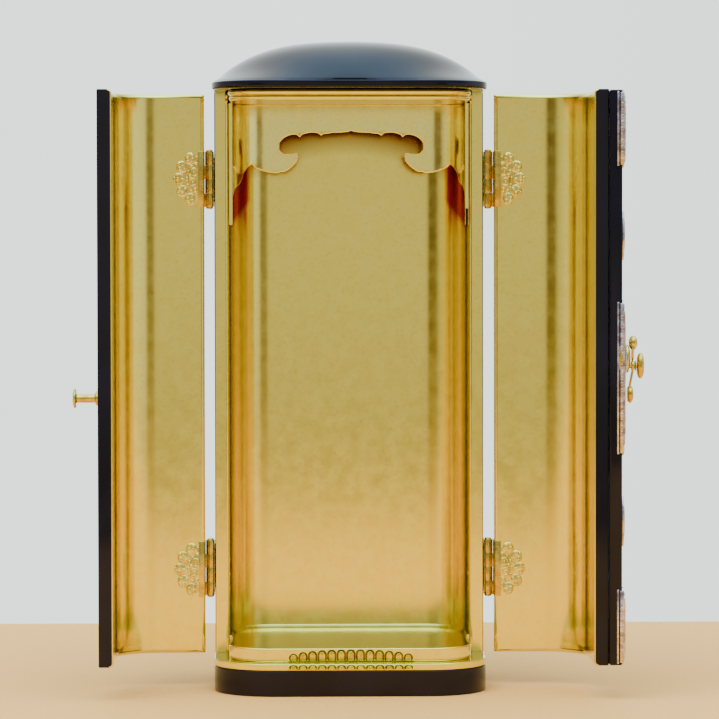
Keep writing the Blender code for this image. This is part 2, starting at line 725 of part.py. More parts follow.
def build_cover_strip(lacquer, brass):
    """Lacquered cover strip of the right door with its three caps and two leaf ornaments."""
    low = (STRIP_X - STRIP_WIDTH / 2, STRIP_FRONT_Y, DOOR_BASE + STRIP_END_MARGIN)
    high = (STRIP_X + STRIP_WIDTH / 2, STRIP_BACK_Y, DOOR_TOP - STRIP_END_MARGIN)
    strip = make_object("cover_strip", box(low, high), lacquer)
    add_bevel(strip, ARRIS)
    cap_low = low[2] + END_CAP_HEIGHT / 2
    cap_high = high[2] - END_CAP_HEIGHT / 2
    pieces = [
        strip,
        build_cap("cap_lower", cap_low, END_CAP_HEIGHT, brass),
        build_cap("cap_middle", DOOR_MIDDLE, MIDDLE_CAP_HEIGHT, brass),
        build_cap("cap_upper", cap_high, END_CAP_HEIGHT, brass),
        build_leaf_ornament("leaf_lower", DOOR_MIDDLE - LEAF_ORNAMENT_OFFSET, brass),
        build_leaf_ornament("leaf_upper", DOOR_MIDDLE + LEAF_ORNAMENT_OFFSET, brass),
    ]
    return pieces


def latch_foot_y():
    """Face of the middle cap's raised panel, with the clearance of what sits on it."""
    return CAP_FRONT_Y - CAP_RIDGE - SEAT_GAP


def build_latch_post(brass):
    """Oval domed boss with a neck for the hasp, a collar and an upright oval head."""
    neck_end = LATCH_BOSS_RELIEF + HASP_SHEET + 2 * SEAT_GAP
    head_start = LATCH_REACH - LATCH_HEAD_THICKNESS
    boss = turned((
        (0.0, LATCH_BOSS_RADIUS),
        (LATCH_BOSS_RELIEF * 0.45, LATCH_BOSS_RADIUS * 0.94),
        (LATCH_BOSS_RELIEF * 0.85, LATCH_BOSS_RADIUS * 0.66),
        (LATCH_BOSS_RELIEF, LATCH_BOSS_RADIUS * 0.34),
    ))
    post = make_object("latch_post", stretched(boss, LATCH_BOSS_STRETCH, 0), brass)
    neck = turned((
        (LATCH_BOSS_RELIEF / 2, LATCH_NECK_RADIUS),
        (neck_end, LATCH_NECK_RADIUS),
        (neck_end, LATCH_COLLAR_RADIUS),
        (neck_end + LATCH_COLLAR_THICKNESS, LATCH_COLLAR_RADIUS),
        (neck_end + LATCH_COLLAR_THICKNESS, LATCH_NECK_RADIUS),
        (head_start + LATCH_HEAD_THICKNESS / 2, LATCH_NECK_RADIUS),
    ))
    combine(post, make_object("neck", neck, brass), "UNION")
    head = turned((
        (head_start, LATCH_HEAD_RADIUS * 0.6),
        (head_start + LATCH_HEAD_THICKNESS * 0.3, LATCH_HEAD_RADIUS),
        (head_start + LATCH_HEAD_THICKNESS * 0.6, LATCH_HEAD_RADIUS * 0.92),
        (head_start + LATCH_HEAD_THICKNESS, LATCH_HEAD_RADIUS * 0.4),
    ))
    combine(post, make_object("head", stretched(head, LATCH_HEAD_STRETCH, 0), brass), "UNION")
    post.data.shade_smooth()
    post.data.set_sharp_from_angle(angle=math.radians(35))
    post.data.transform(Matrix.Translation((STRIP_X, latch_foot_y(), LATCH_HEIGHT)))
    return post


def build_hasp(brass):
    """Plate that hangs on the latch post by an eye: a leaf above it, a round button at its foot."""
    back = -(LATCH_BOSS_RELIEF + SEAT_GAP)
    front = back - HASP_SHEET
    eye = circle_points((0, 0), HASP_EYE_RADIUS, ROUND_SIDES)
    hasp = make_object("hasp", upright_plate(eye, back, front), brass)
    half = HASP_WIDTH / 2
    strap = box((-half, front, -HASP_LENGTH), (half, back, 0))
    combine(hasp, make_object("strap", strap, brass), "UNION")
    lobe = pointed_leaf(HASP_LOBE_WIDTH, HASP_LOBE_HEIGHT, 8)
    leaf = upright_plate([(x, z + HASP_LOBE_HEIGHT / 2) for x, z in lobe], back, front)
    combine(hasp, make_object("leaf", leaf, brass), "UNION")
    button = turned((
        (-back, HASP_BUTTON_RADIUS * 0.8),
        (-front, HASP_BUTTON_RADIUS),
        (-front + HASP_BUTTON_RELIEF * 0.5, HASP_BUTTON_RADIUS * 0.9),
        (-front + HASP_BUTTON_RELIEF, HASP_BUTTON_RADIUS * 0.45),
    ))
    combine(hasp, make_object("button", stretched(button, 1.0, -HASP_LENGTH), brass), "UNION")
    bore = circle_points((0, 0), LATCH_NECK_RADIUS + PIN_PLAY, ROUND_SIDES)
    hole = upright_plate(bore, back + HASP_SHEET, front - HASP_SHEET)
    combine(hasp, make_object("hole", hole, brass), "DIFFERENCE")
    hasp.data.shade_smooth()
    hasp.data.set_sharp_from_angle(angle=math.radians(35))
    return hasp


def build_stud(brass):
    """Headed stud of the left door that the hasp drops over, on a round plate."""
    profile = [
        (SEAT_GAP, STUD_PLATE_RADIUS),
        (SEAT_GAP + STUD_PLATE_THICKNESS * 0.6, STUD_PLATE_RADIUS),
        (SEAT_GAP + STUD_PLATE_THICKNESS, STUD_PLATE_RADIUS * 0.8),
        (SEAT_GAP + STUD_PLATE_THICKNESS, STUD_RADIUS),
        (STUD_LENGTH - STUD_HEAD_THICKNESS, STUD_RADIUS),
        (STUD_LENGTH - STUD_HEAD_THICKNESS, STUD_HEAD_RADIUS),
        (STUD_LENGTH - STUD_HEAD_THICKNESS * 0.5, STUD_HEAD_RADIUS),
        (STUD_LENGTH, STUD_HEAD_RADIUS * 0.6),
    ]
    stud = make_object("latch_stud", turned(profile), brass, smooth_angle=35)
    stud.data.transform(Matrix.Translation((-STUD_INSET, -HALF_DEPTH, STUD_HEIGHT)))
    return stud


def main():
    clear_scene()
    lacquer = finish_colour("black_lacquer", (0.010, 0.007, 0.012), 0.0, 0.12)
    gilt = finish_colour("gold_leaf", (0.72, 0.52, 0.13), 1.0, 0.22)
    brass = finish_colour("gilt_brass", (0.62, 0.43, 0.16), 1.0, 0.28)

    build_boards(lacquer, gilt)
    build_shell(lacquer)
    build_roof(lacquer)
    build_valance(gilt)

    left_place = (-AXIS_X, AXIS_Y, 0)
    right_place = (AXIS_X, AXIS_Y, 0)
    left_axis = axis_empty("left_door_axis", left_place, -LEFT_DOOR_OPEN)
    right_axis = axis_empty("right_door_axis", right_place, RIGHT_DOOR_OPEN)
    build_hinges(brass, left_axis, right_axis)
    for piece in (build_door("left", -1, lacquer), build_stud(brass)):
        hang_on(piece, left_axis, left_place)
    right_pieces = [build_door("right", 1, lacquer), build_latch_post(brass)]
    for piece in right_pieces + build_cover_strip(lacquer, brass):
        hang_on(piece, right_axis, right_place)
    hasp = build_hasp(brass)
    hasp.parent = right_axis
    hasp.location = (STRIP_X - AXIS_X, latch_foot_y() - AXIS_Y, LATCH_HEIGHT)


main()
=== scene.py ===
"""Looks of a miniature household shrine: lacquered case, gold-leafed inside, gilt brass fittings.

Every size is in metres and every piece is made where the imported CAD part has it.
"""

import logging
import math
from collections.abc import Callable, Iterator, Sequence
from contextlib import contextmanager
from dataclasses import dataclass
from enum import Enum

import bmesh
import bpy
from mathutils import Matrix, Vector


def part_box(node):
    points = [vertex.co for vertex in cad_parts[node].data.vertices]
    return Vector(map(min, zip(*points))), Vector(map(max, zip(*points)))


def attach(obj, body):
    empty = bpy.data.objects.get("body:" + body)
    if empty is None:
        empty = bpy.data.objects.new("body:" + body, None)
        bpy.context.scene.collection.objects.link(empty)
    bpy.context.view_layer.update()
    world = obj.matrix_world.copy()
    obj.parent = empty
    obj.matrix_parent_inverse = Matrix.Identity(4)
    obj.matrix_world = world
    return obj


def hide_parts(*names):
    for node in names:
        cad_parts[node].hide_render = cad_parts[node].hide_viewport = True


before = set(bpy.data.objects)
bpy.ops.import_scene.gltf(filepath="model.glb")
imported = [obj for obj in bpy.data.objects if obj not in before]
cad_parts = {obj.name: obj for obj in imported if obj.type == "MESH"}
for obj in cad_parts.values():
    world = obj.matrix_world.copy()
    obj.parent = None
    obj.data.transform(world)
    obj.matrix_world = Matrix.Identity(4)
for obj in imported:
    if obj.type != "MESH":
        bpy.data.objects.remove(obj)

log = logging.getLogger("shrine")

MM = 0.001
# Pieces run this far into the one that carries them, so that no slit shows between them
TUCK = 0.25 * MM
Point = tuple[float, float]
Solid = bpy.types.Object
Socket = bpy.types.NodeSocket
Finish = bpy.types.Material
Test = Callable[[Vector, Vector], bool]
Choice = Callable[[Vector, Vector], int]


class Side(Enum):
    """Left or right door, as the photo shows them."""

    LEFT = -1
    RIGHT = 1

    @property
    def body(self) -> str:
        """Name of the CAD body of this door."""
        return f"{self.name.lower()}_door"


class Slot(Enum):
    """Material slots of the record."""

    LACQUER = "black_lacquer"
    LEAF = "gold_leaf"
    BRASS = "gilt_brass"


@dataclass(frozen=True)
class Layout:
    """Sizes that several pieces share.

    Args:
        half_width: Half of the case's width.
        half_depth: Half of the case's depth.
        wall: Thickness of the case wall and of the doors.
        corner: Radius of the case's corners, measured outside.
        jamb_y: Front face of the case wall, where the doors close.
        hinge_gap: Gap between the case wall and a shut door's edge.
        axis_x: Distance of the hinge pins from the middle.
        axis_y: Place of the hinge pins from front to back.
        left_open: Angle in degrees at which the left door stands.
        right_open: Angle in degrees at which the right door stands.
    """

    half_width: float = 50.25 * MM
    half_depth: float = 41.0 * MM
    wall: float = 5.3 * MM
    corner: float = 22.1 * MM
    jamb_y: float = -2.6 * MM
    hinge_gap: float = 0.3 * MM
    axis_x: float = 52.13 * MM
    axis_y: float = -1.05 * MM
    left_open: float = 89.0
    right_open: float = 91.0

    def swing(self, piece: Solid, side: Side) -> Solid:
        """Turn a piece that was made with its door shut to where the open door stands.

        Args:
            piece: Piece of a door.
            side: Door that it belongs to.

        Returns:
            The same piece.
        """
        degrees = self.right_open if side is Side.RIGHT else self.left_open
        pin = Matrix.Translation((side.value * self.axis_x, self.axis_y, 0))
        turn = Matrix.Rotation(math.radians(side.value * degrees), 4, "Z")
        piece.data.transform(pin @ turn @ pin.inverted())
        return piece


LAYOUT = Layout()


def focus(piece: Solid) -> None:
    """Make a piece the only selected one, and the active one.

    Args:
        piece: Piece to work on.
    """
    bpy.ops.object.select_all(action="DESELECT")
    piece.select_set(True)
    bpy.context.view_layer.objects.active = piece


@contextmanager
def editing(piece: Solid, kind: str) -> Iterator[bmesh.types.BMesh]:
    """Edit a piece with nothing selected.

    Args:
        piece: Piece to edit.
        kind: Selection mode: VERT, EDGE or FACE.

    Yields:
        The mesh being edited, for picking its parts.
    """
    focus(piece)
    bpy.ops.object.mode_set(mode="EDIT")
    bpy.ops.mesh.select_mode(type=kind)
    bpy.ops.mesh.select_all(action="DESELECT")
    yield bmesh.from_edit_mesh(piece.data)
    bpy.ops.object.mode_set(mode="OBJECT")


def near(first: float, second: float) -> bool:
    """Tell whether two lengths agree to a hundredth of a millimetre."""
    return abs(first - second) < 0.01 * MM


def round_edges(piece: Solid, test: Test, radius: float, steps: int) -> None:
    """Round the edges whose two ends pass a test.

    Args:
        piece: Piece to work on.
        test: Tells from its two ends whether an edge is meant.
        radius: Radius of the rounding.
        steps: Facets of the rounding.
    """
    with editing(piece, "EDGE") as shape:
        for edge in shape.edges:
            if test(edge.verts[0].co, edge.verts[1].co):
                edge.select_set(True)
        bpy.ops.mesh.bevel(offset=radius, segments=steps, affect="EDGES")


def drop_faces(piece: Solid, test: Test) -> None:
    """Delete the faces whose middle and normal pass a test.

    Args:
        piece: Piece to work on.
        test: Tells from its middle and normal whether a face is meant.
    """
    with editing(piece, "FACE") as shape:
        for face in shape.faces:
            if test(face.calc_center_median(), face.normal):
                face.select_set(True)
        bpy.ops.mesh.delete(type="FACE")


def apply_modifier(piece: Solid, kind: str, **settings: float | int | bool | str) -> None:
    """Add a modifier with its settings and apply it.

    Args:
        piece: Piece to work on.
        kind: Type of the modifier.
        **settings: Its properties.
    """
    modifier = piece.modifiers.new(kind.lower(), kind)
    for name, value in settings.items():
        setattr(modifier, name, value)
    focus(piece)
    bpy.ops.object.modifier_apply(modifier=modifier.name)


def settle(piece: Solid) -> Solid:
    """Apply a piece's place, turn and size to its mesh.

    Args:
        piece: Piece to work on.

    Returns:
        The same piece.
    """
    focus(piece)
    bpy.ops.object.transform_apply(location=True, rotation=True, scale=True)
    return piece


def tidy_mesh(piece: Solid) -> Solid:
    """Close the seams of a piece and turn its faces outwards.

    Args:
        piece: Piece to work on.

    Returns:
        The same piece.
    """
    with editing(piece, "VERT"):
        bpy.ops.mesh.select_all(action="SELECT")
        bpy.ops.mesh.remove_doubles(threshold=0.002 * MM)
        bpy.ops.mesh.normals_make_consistent(inside=False)
    return piece


def smooth(piece: Solid, degrees: float = 35.0) -> Solid:
    """Shade a piece smooth except across its sharp edges.

    Args:
        piece: Piece to work on.
        degrees: Angle past which an edge stays sharp.

    Returns:
        The same piece.
    """
    focus(piece)
    bpy.ops.object.shade_smooth_by_angle(angle=math.radians(degrees))
    return piece


def flatten(piece: Solid) -> Solid:
    """Keep the large faces of a smooth piece flat beside its rounded arrises."""
    apply_modifier(piece, "WEIGHTED_NORMAL", keep_sharp=True)
    return piece


def block(name: str, low: Sequence[float], high: Sequence[float]) -> Solid:
    """Make a block between two corners.

    Args:
        name: Name of the piece.
        low: Lowest corner.
        high: Highest corner.

    Returns:
        The block.
    """
    size = Vector(high) - Vector(low)
    bpy.ops.object.select_all(action="DESELECT")
    bpy.ops.mesh.primitive_cube_add(size=1.0, location=(Vector(low) + Vector(high)) / 2)
    piece = bpy.context.object
    piece.name = name
    piece.scale = size
    return settle(piece)


def upright(start: Vector, end: Vector) -> bool:
    """Tell whether an edge runs up and down."""
    return near(start.x, end.x) and near(start.y, end.y)


def board(name: str, low: Vector, high: Vector, corner: float, arris: float) -> Solid:
    """Make a flat board with rounded corners and rounded arrises.

    Args:
        name: Name of the piece.
        low: Lowest corner.
        high: Highest corner.
        corner: Radius of the corners in plan.
        arris: Radius of the arrises above and below.

    Returns:
        The board.
    """
    piece = block(name, low, high)
    round_edges(piece, upright, corner, 24)
    round_edges(piece, lambda a, b: near(a.z, b.z), arris, 4)
    return flatten(smooth(piece))


def pebble(place: Sequence[float], radii: Sequence[float], steps: int = 12, turn: float = 0.0) -> Solid:
    """Make a rounded boss.

    Args:
        place: Its middle.
        radii: Its half sizes.
        steps: Facets from pole to pole.
        turn: Turn about the Y axis, in radians.

    Returns:
        The boss.
    """
    bpy.ops.object.select_all(action="DESELECT")
    bpy.ops.mesh.primitive_uv_sphere_add(segments=2 * steps, ring_count=steps, location=place)
    piece = bpy.context.object
    piece.rotation_euler = (0, turn, 0)
    piece.scale = radii
    return settle(piece)


def ring(place: Sequence[float], radius: float, wire: float, stretch: float = 1.0) -> Solid:
    """Make a ring of round wire that lies in the XZ plane.

    Args:
        place: Its middle.
        radius: Radius of the wire's middle line.
        wire: Radius of the wire.
        stretch: Its height as a share of its width.

    Returns:
        The ring.
    """
    bpy.ops.object.select_all(action="DESELECT")
    bpy.ops.mesh.primitive_torus_add(
        location=place,
        rotation=(math.pi / 2, 0, 0),
        major_radius=radius,
        minor_radius=wire,
        major_segments=24,
        minor_segments=8,
    )
    piece = bpy.context.object
    settle(piece)
    piece.data.transform(Matrix.Translation(place) @ Matrix.Diagonal((1, 1, stretch, 1))
                         @ Matrix.Translation(-Vector(place)))
    return piece


def rod(name: str, foot: Sequence[float], radius: float, height: float, arris: float) -> Solid:
    """Make an upright cylinder with rounded rims, standing on its foot.

    Args:
        name: Name of the piece.
        foot: Middle of its lower end.
        radius: Its radius.
        height: Its height.
        arris: Radius of its rims.

    Returns:
        The cylinder.
    """
    middle = Vector(foot) + Vector((0, 0, height / 2))
    bpy.ops.object.select_all(action="DESELECT")
    bpy.ops.mesh.primitive_cylinder_add(vertices=32, radius=radius, depth=height, location=middle)
    piece = bpy.context.object
    piece.name = name
    settle(piece)
    round_edges(piece, lambda a, b: near(a.z, b.z), arris, 3)
    return piece


def turned(name: str, profile: Sequence[Point], steps: int = 40) -> Solid:
    """Turn a profile about the Y axis.

    Args:
        name: Name of the piece.
        profile: Distance out towards -Y and radius, from the axis back to the axis.
        steps: Facets round the axis.

    Returns:
        The turned piece.
    """
    bpy.ops.object.select_all(action="DESELECT")
    bpy.ops.mesh.primitive_plane_add(size=0.01)
    piece = bpy.context.object
    piece.name = name
    with editing(piece, "VERT"):
        bpy.ops.mesh.select_all(action="SELECT")
        bpy.ops.mesh.merge(type="CENTER")
        bpy.ops.transform.translate(value=(profile[0][1], -profile[0][0], 0))
        for (reach, radius), (next_reach, next_radius) in zip(profile, profile[1:]):
            step = (next_radius - radius, reach - next_reach, 0)
            bpy.ops.mesh.extrude_region_move(TRANSFORM_OT_translate={"value": step})
        bpy.ops.mesh.select_all(action="SELECT")
        bpy.ops.mesh.spin(steps=steps, angle=math.tau, center=(0, 0, 0), axis=(0, 1, 0))
    return tidy_mesh(piece)


def arc(centre: Point, radius: float, first: float, last: float, steps: int) -> list[Point]:
    """Points of an arc between two angles in degrees, both ends included.

    Args:
        centre: Centre of the arc.
        radius: Its radius.
        first: Angle at which it starts.
        last: Angle at which it ends.
        steps: Number of its parts.

    Returns:
        The points.
    """
    points = []
    for step in range(steps + 1):
        angle = math.radians(first + (last - first) * step / steps)
        points.append((centre[0] + radius * math.cos(angle), centre[1] + radius * math.sin(angle)))
    return points


def sweep(start: Point, end: Point, bulge: float, steps: int) -> list[Point]:
    """Points after the start of a rounded lobe to its end, raised by the bulge to its left.

    Args:
        start: Where the lobe starts.
        end: Where it ends.
        bulge: Its height over the straight line, to the left if positive.
        steps: Number of its parts.

    Returns:
        The points, the start left out.
    """
    begin = Vector(start)
    along = Vector(end) - begin
    left = Vector((-along.y, along.x)).normalized()
    points = []
    for step in range(1, steps + 1):
        share = step / steps
        lift = bulge * math.sqrt(max(0.0, 1.0 - (2.0 * share - 1.0) ** 2))
        points.append(tuple(begin + along * share + left * lift))
    return points


def plate(name: str, outline: Sequence[Point], back: float, front: float, arris: float) -> Solid:
    """Cut an upright plate out of sheet, its edges rounded.

    Args:
        name: Name of the piece.
        outline: Corners in X and Z.
        back: Place of its back in Y.
        front: Place of its front in Y, nearer the viewer.
        arris: Radius of its arrises.

    Returns:
        The plate as a mesh.
    """
    curve = bpy.data.curves.new(name, "CURVE")
    curve.dimensions = "2D"
    curve.fill_mode = "BOTH"
    curve.extrude = (back - front) / 2 - arris
    curve.bevel_depth = arris
    curve.bevel_resolution = 2
    curve.offset = -arris
    spline = curve.splines.new("POLY")
    spline.points.add(len(outline) - 1)
    for point, (x, z) in zip(spline.points, outline):
        point.co = (x, z, 0, 1)
    spline.use_cyclic_u = True
    piece = bpy.data.objects.new(name, curve)
    bpy.context.collection.objects.link(piece)
    piece.rotation_euler = (math.pi / 2, 0, 0)
    piece.location = (0, (back + front) / 2, 0)
    focus(piece)
    bpy.ops.object.convert(target="MESH")
    piece = bpy.context.object
    return tidy_mesh(settle(piece))


def merge(name: str, pieces: Sequence[Solid]) -> Solid:
    """Join pieces into the first one and name the result.

    Args:
        name: Name of the result.
        pieces: Pieces to join.

    Returns:
        The joined piece.
    """
    bpy.ops.object.select_all(action="DESELECT")
    for piece in pieces:
        piece.select_set(True)
    bpy.context.view_layer.objects.active = pieces[0]
    bpy.ops.object.join()
    pieces[0].name = name
    return pieces[0]


def duplicate(piece: Solid, name: str, move: Matrix) -> Solid:
    """Copy a piece with its own mesh, moved by a matrix, with its faces kept outwards.

    Args:
        piece: Piece to copy.
        name: Name of the copy.
        move: Matrix that moves it.

    Returns:
        The copy.
    """
    mesh = piece.data.copy()
    mesh.transform(move)
    if move.determinant() < 0:
        mesh.flip_normals()
    made = bpy.data.objects.new(name, mesh)
    bpy.context.collection.objects.link(made)
    return made


def discard(*pieces: Solid) -> None:
    """Remove pieces that only served as patterns."""
    for piece in pieces:
        bpy.data.objects.remove(piece, do_unlink=True)


def linear(code: str, alpha: float = 1.0) -> tuple[float, float, float, float]:
    """Turn an sRGB hex colour into a linear one.

    Args:
        code: Six hex digits.
        alpha: Opacity.

    Returns:
        Red, green, blue and opacity.
    """
    parts = []
    for start in (0, 2, 4):
        value = int(code[start:start + 2], 16) / 255
        parts.append(value / 12.92 if value <= 0.04045 else ((value + 0.055) / 1.055) ** 2.4)
    return (parts[0], parts[1], parts[2], alpha)


class Recipe:
    """Node tree of a finish or of the room's light, and the one helper that fills it.

    Args:
        owner: Material or world that the tree belongs to.
        shader: Name of the shader that the tree ends in.
        space: Coordinates that its patterns are laid out in.
    """

    def __init__(
        self, owner: Finish | bpy.types.World, shader: str = "Principled BSDF", space: str = "Object"
    ) -> None:
        """Open the node tree, and find its shader and its coordinates."""
        owner.use_nodes = True
        self.tree = owner.node_tree
        self.shader = self.tree.nodes[shader]
        self.coords = self.add("ShaderNodeTexCoord", {})[space]

    def feed(self, node: bpy.types.Node, inputs: dict) -> None:
        """Set inputs of a node, by name or number, to a value or to another node's output.

        Args:
            node: Node whose inputs are set.
            inputs: Value or output for each input.
        """
        for socket, value in inputs.items():
            if isinstance(value, Socket):
                self.tree.links.new(value, node.inputs[socket])
            else:
                node.inputs[socket].default_value = value

    def add(self, kind: str, inputs: dict, **settings: object) -> bpy.types.bpy_prop_collection:
        """Add a node with its settings, values and links.

        Args:
            kind: Type of the node.
            inputs: Value or output socket for each input, by name or number.
            **settings: Properties of the node.

        Returns:
            The node's outputs.
        """
        node = self.tree.nodes.new(kind)
        for name, value in settings.items():
            setattr(node, name, value)
        self.feed(node, inputs)
        return node.outputs

    def spread(self, size: float, **more: float) -> dict:
        """Inputs of a pattern whose features are this long in metres, with any further ones."""
        return {"Vector": self.coords, "Scale": 1.0 / size, **more}


@dataclass(frozen=True)
class GoldLeaf:
    """Beaten gold leaf laid over lacquer.

    The brush that lays it down leaves a fine crinkle, and where two leaves overlap it looks paler.

    Args:
        name: Name of the material.
        pale: Colour where the leaf is laid double.
        deep: Colour where it is laid once.
        worn: Colour of the crests that are rubbed.
        gloss: Roughness of the smoothest places.
        dull: Roughness of the most rubbed places.
        crinkle: Size of the crinkle.
        crinkle_depth: Depth of the crinkle.
        wave: Size of the unevenness under the leaf.
        wave_depth: Depth of the unevenness.
    """

    name: str = "gold_leaf_over_lacquer"
    pale: str = "F7E76A"
    deep: str = "F2DD5C"
    worn: str = "E2C64C"
    gloss: float = 0.13
    dull: float = 0.19
    crinkle: float = 1.1 * MM
    crinkle_depth: float = 0.0011 * MM
    wave: float = 7 * MM
    wave_depth: float = 0.003 * MM

    def paint_valance_shadow(self, recipe: Recipe, tone: Socket) -> Socket:
        """Paint the valance's shade onto the leaf behind it: painted shadow and reflection of its red back.

        Args:
            recipe: Material that is being made.
            tone: Colour of the leaf.

        Returns:
            Colour of the leaf with the painted shade.
        """
        add = recipe.add
        ways = add("ShaderNodeSeparateXYZ", {0: recipe.coords})
        spread = add("ShaderNodeMath", {0: ways["X"]}, operation="ABSOLUTE")[0]
        square = add("ShaderNodeMath", {0: spread, 1: 2.0}, operation="POWER")[0]
        # Lower edge of the painted shadow band sinks towards the hooks of the valance
        sunk = add("ShaderNodeMath", {0: square, 1: 7.6, 2: ways["Z"]}, operation="MULTIPLY_ADD")[0]
        shadow_band = add("ShaderNodeMapRange", {0: sunk, 1: 199 * MM, 2: 209 * MM})[0]
        # Painted red reflection of the valance's back runs down to a point beside each jamb
        steep = add("ShaderNodeMath", {0: spread, 1: 1.3, 2: ways["Z"]}, operation="MULTIPLY_ADD")[0]
        foot = add("ShaderNodeMapRange", {0: steep, 1: 228.5 * MM, 2: 231.5 * MM})[0]
        inner = add("ShaderNodeMapRange", {0: spread, 1: 37 * MM, 2: 38.6 * MM})[0]
        corner = add("ShaderNodeMath", {0: foot, 1: inner}, operation="MULTIPLY")[0]
        behind = add("ShaderNodeMapRange", {0: ways["Y"], 1: 9 * MM, 2: 14 * MM})[0]
        # Painted shade: dark brown for the valance's shadow and reflection under its cusps, red for the
        # reflection of its red back
        for share, colour in ((shadow_band, "8A5408"), (corner, "BE3A0E")):
            painted_shadow = add("ShaderNodeMath", {0: share, 1: behind}, operation="MULTIPLY")[0]
            tone = add("ShaderNodeMix", {0: painted_shadow, 6: tone, 7: linear(colour)}, data_type="RGBA")[2]
        return tone

    def material(self, painted_shadow: bool = False) -> Finish:
        """Build the material, with or without the painted shade of the valance on it.

        Args:
            painted_shadow: Whether the valance's shadow and the reflection of its back are painted on.

        Returns:
            The material.
        """
        made = bpy.data.materials.new(self.name)
        recipe = Recipe(made)
        add = recipe.add
        clouds = add("ShaderNodeTexNoise", recipe.spread(5 * MM, Detail=5))[0]
        crinkle = add("ShaderNodeTexNoise", recipe.spread(self.crinkle, Detail=5))[0]
        rubbing = add("ShaderNodeTexNoise", recipe.spread(5 * MM, Detail=4))[0]
        waves = add("ShaderNodeTexNoise", recipe.spread(self.wave, Detail=2))[0]
        # Cloudy tone of leaf laid once and twice, then the crests where a cloth has rubbed it
        double = add("ShaderNodeMapRange", {0: clouds, 1: 0.35, 2: 0.65})[0]
        tones = {0: double, 6: linear(self.deep), 7: linear(self.pale)}
        tone = add("ShaderNodeMix", tones, data_type="RGBA")[2]
        crests = add("ShaderNodeMapRange", {0: crinkle, 1: 0.54, 2: 0.7, 3: 0.0, 4: 0.35})[0]
        tone = add("ShaderNodeMix", {0: crests, 6: tone, 7: linear(self.worn)}, data_type="RGBA")[2]
        if painted_shadow:
            tone = self.paint_valance_shadow(recipe, tone)
        rough = add("ShaderNodeMapRange", {0: rubbing, 1: 0.3, 2: 0.7, 3: self.gloss, 4: self.dull})[0]
        fine = add("ShaderNodeBump", {"Height": crinkle, "Strength": 1.0, "Distance": self.crinkle_depth})[0]
        under = {"Height": waves, "Strength": 1.0, "Distance": self.wave_depth, "Normal": fine}
        relief = add("ShaderNodeBump", under)[0]
        looks = {"Metallic": 1.0, "Base Color": tone, "Roughness": rough, "Normal": relief}
        recipe.feed(recipe.shader, looks)
        return made


@dataclass(frozen=True)
class Lacquer:
    """Urushi lacquer, brushed on in fine coats and polished.

    It has a deep gloss over a faint ripple, dulled here and there by handling.

    Args:
        name: Name of the material.
        colour: Colour of the lacquer.
        cast: Colour that it takes on in patches.
        gloss: Roughness of the polish.
        handling: Roughness that handling adds where it is strongest.
        ior: Refractive index, matched to the mirror image of the room in the roof.
    """

    name: str = "black_urushi_lacquer"
    colour: str = "08060C"
    cast: str = "0F0B16"
    gloss: float = 0.06
    handling: float = 0.07
    ior: float = 1.33

    def material(self) -> Finish:
        """Build the material.

        Returns:
            The material.
        """
        made = bpy.data.materials.new(self.name)
        recipe = Recipe(made)
        add = recipe.add
        clouds = add("ShaderNodeTexNoise", recipe.spread(22 * MM, Detail=3))[0]
        marks = add("ShaderNodeTexNoise", recipe.spread(9 * MM, Detail=5))[0]
        waves = add("ShaderNodeTexNoise", recipe.spread(3.5 * MM, Detail=2))[0]
        patches = add("ShaderNodeMapRange", {0: clouds, 1: 0.35, 2: 0.65})[0]
        tones = {0: patches, 6: linear(self.colour), 7: linear(self.cast)}
        tone = add("ShaderNodeMix", tones, data_type="RGBA")[2]
        dullest = self.gloss + self.handling
        rough = add("ShaderNodeMapRange", {0: marks, 1: 0.35, 2: 0.75, 3: self.gloss, 4: dullest})[0]
        ripple = add("ShaderNodeBump", {"Height": waves, "Strength": 1.0, "Distance": 0.0022 * MM})[0]
        looks = {"IOR": self.ior, "Base Color": tone, "Roughness": rough, "Normal": ripple}
        recipe.feed(recipe.shader, looks)
        return made


@dataclass(frozen=True)
class GiltBrass:
    """Gilded brass, turned or cut from sheet, and chased with punches where it is patterned.

    The gilding is bright with rubbed patches, and the punches leave rounded hollows side by side.

    Args:
        name: Name of the material.
        pale: Colour of the gilding.
        deep: Colour of the brass in worn places.
        chasing: Depth of the punched pattern.
        grain: Size of the punched pattern.
        gloss: Roughness of the brightest gilding.
        dull: Roughness of the rubbed patches.
    """

    name: str = "gilt_brass"
    pale: str = "F3DC9A"
    deep: str = "D6AE62"
    chasing: float = 0.01 * MM
    grain: float = 0.9 * MM
    gloss: float = 0.16
    dull: float = 0.34

    def material(self) -> Finish:
        """Build the material.

        Returns:
            The material.
        """
        made = bpy.data.materials.new(self.name)
        recipe = Recipe(made)
        add = recipe.add
        clouds = add("ShaderNodeTexNoise", recipe.spread(2.5 * MM, Detail=4))[0]
        rubbing = add("ShaderNodeTexNoise", recipe.spread(1.5 * MM, Detail=4))[0]
        hammering = add("ShaderNodeTexNoise", recipe.spread(0.5 * MM, Detail=3))[0]
        punches = add("ShaderNodeTexVoronoi", recipe.spread(self.grain), feature="SMOOTH_F1")["Distance"]
        patches = add("ShaderNodeMapRange", {0: clouds, 1: 0.35, 2: 0.65})[0]
        tones = {0: patches, 6: linear(self.deep), 7: linear(self.pale)}
        tone = add("ShaderNodeMix", tones, data_type="RGBA")[2]
        rough = add("ShaderNodeMapRange", {0: rubbing, 1: 0.3, 2: 0.7, 3: self.gloss, 4: self.dull})[0]
        chased = add("ShaderNodeBump", {"Height": punches, "Strength": 1.0, "Distance": self.chasing})[0]
        under = {"Height": hammering, "Strength": 1.0, "Distance": 0.002 * MM, "Normal": chased}
        worked = add("ShaderNodeBump", under)[0]
        looks = {"Metallic": 1.0, "Base Color": tone, "Roughness": rough, "Normal": worked}
        recipe.feed(recipe.shader, looks)
        return made


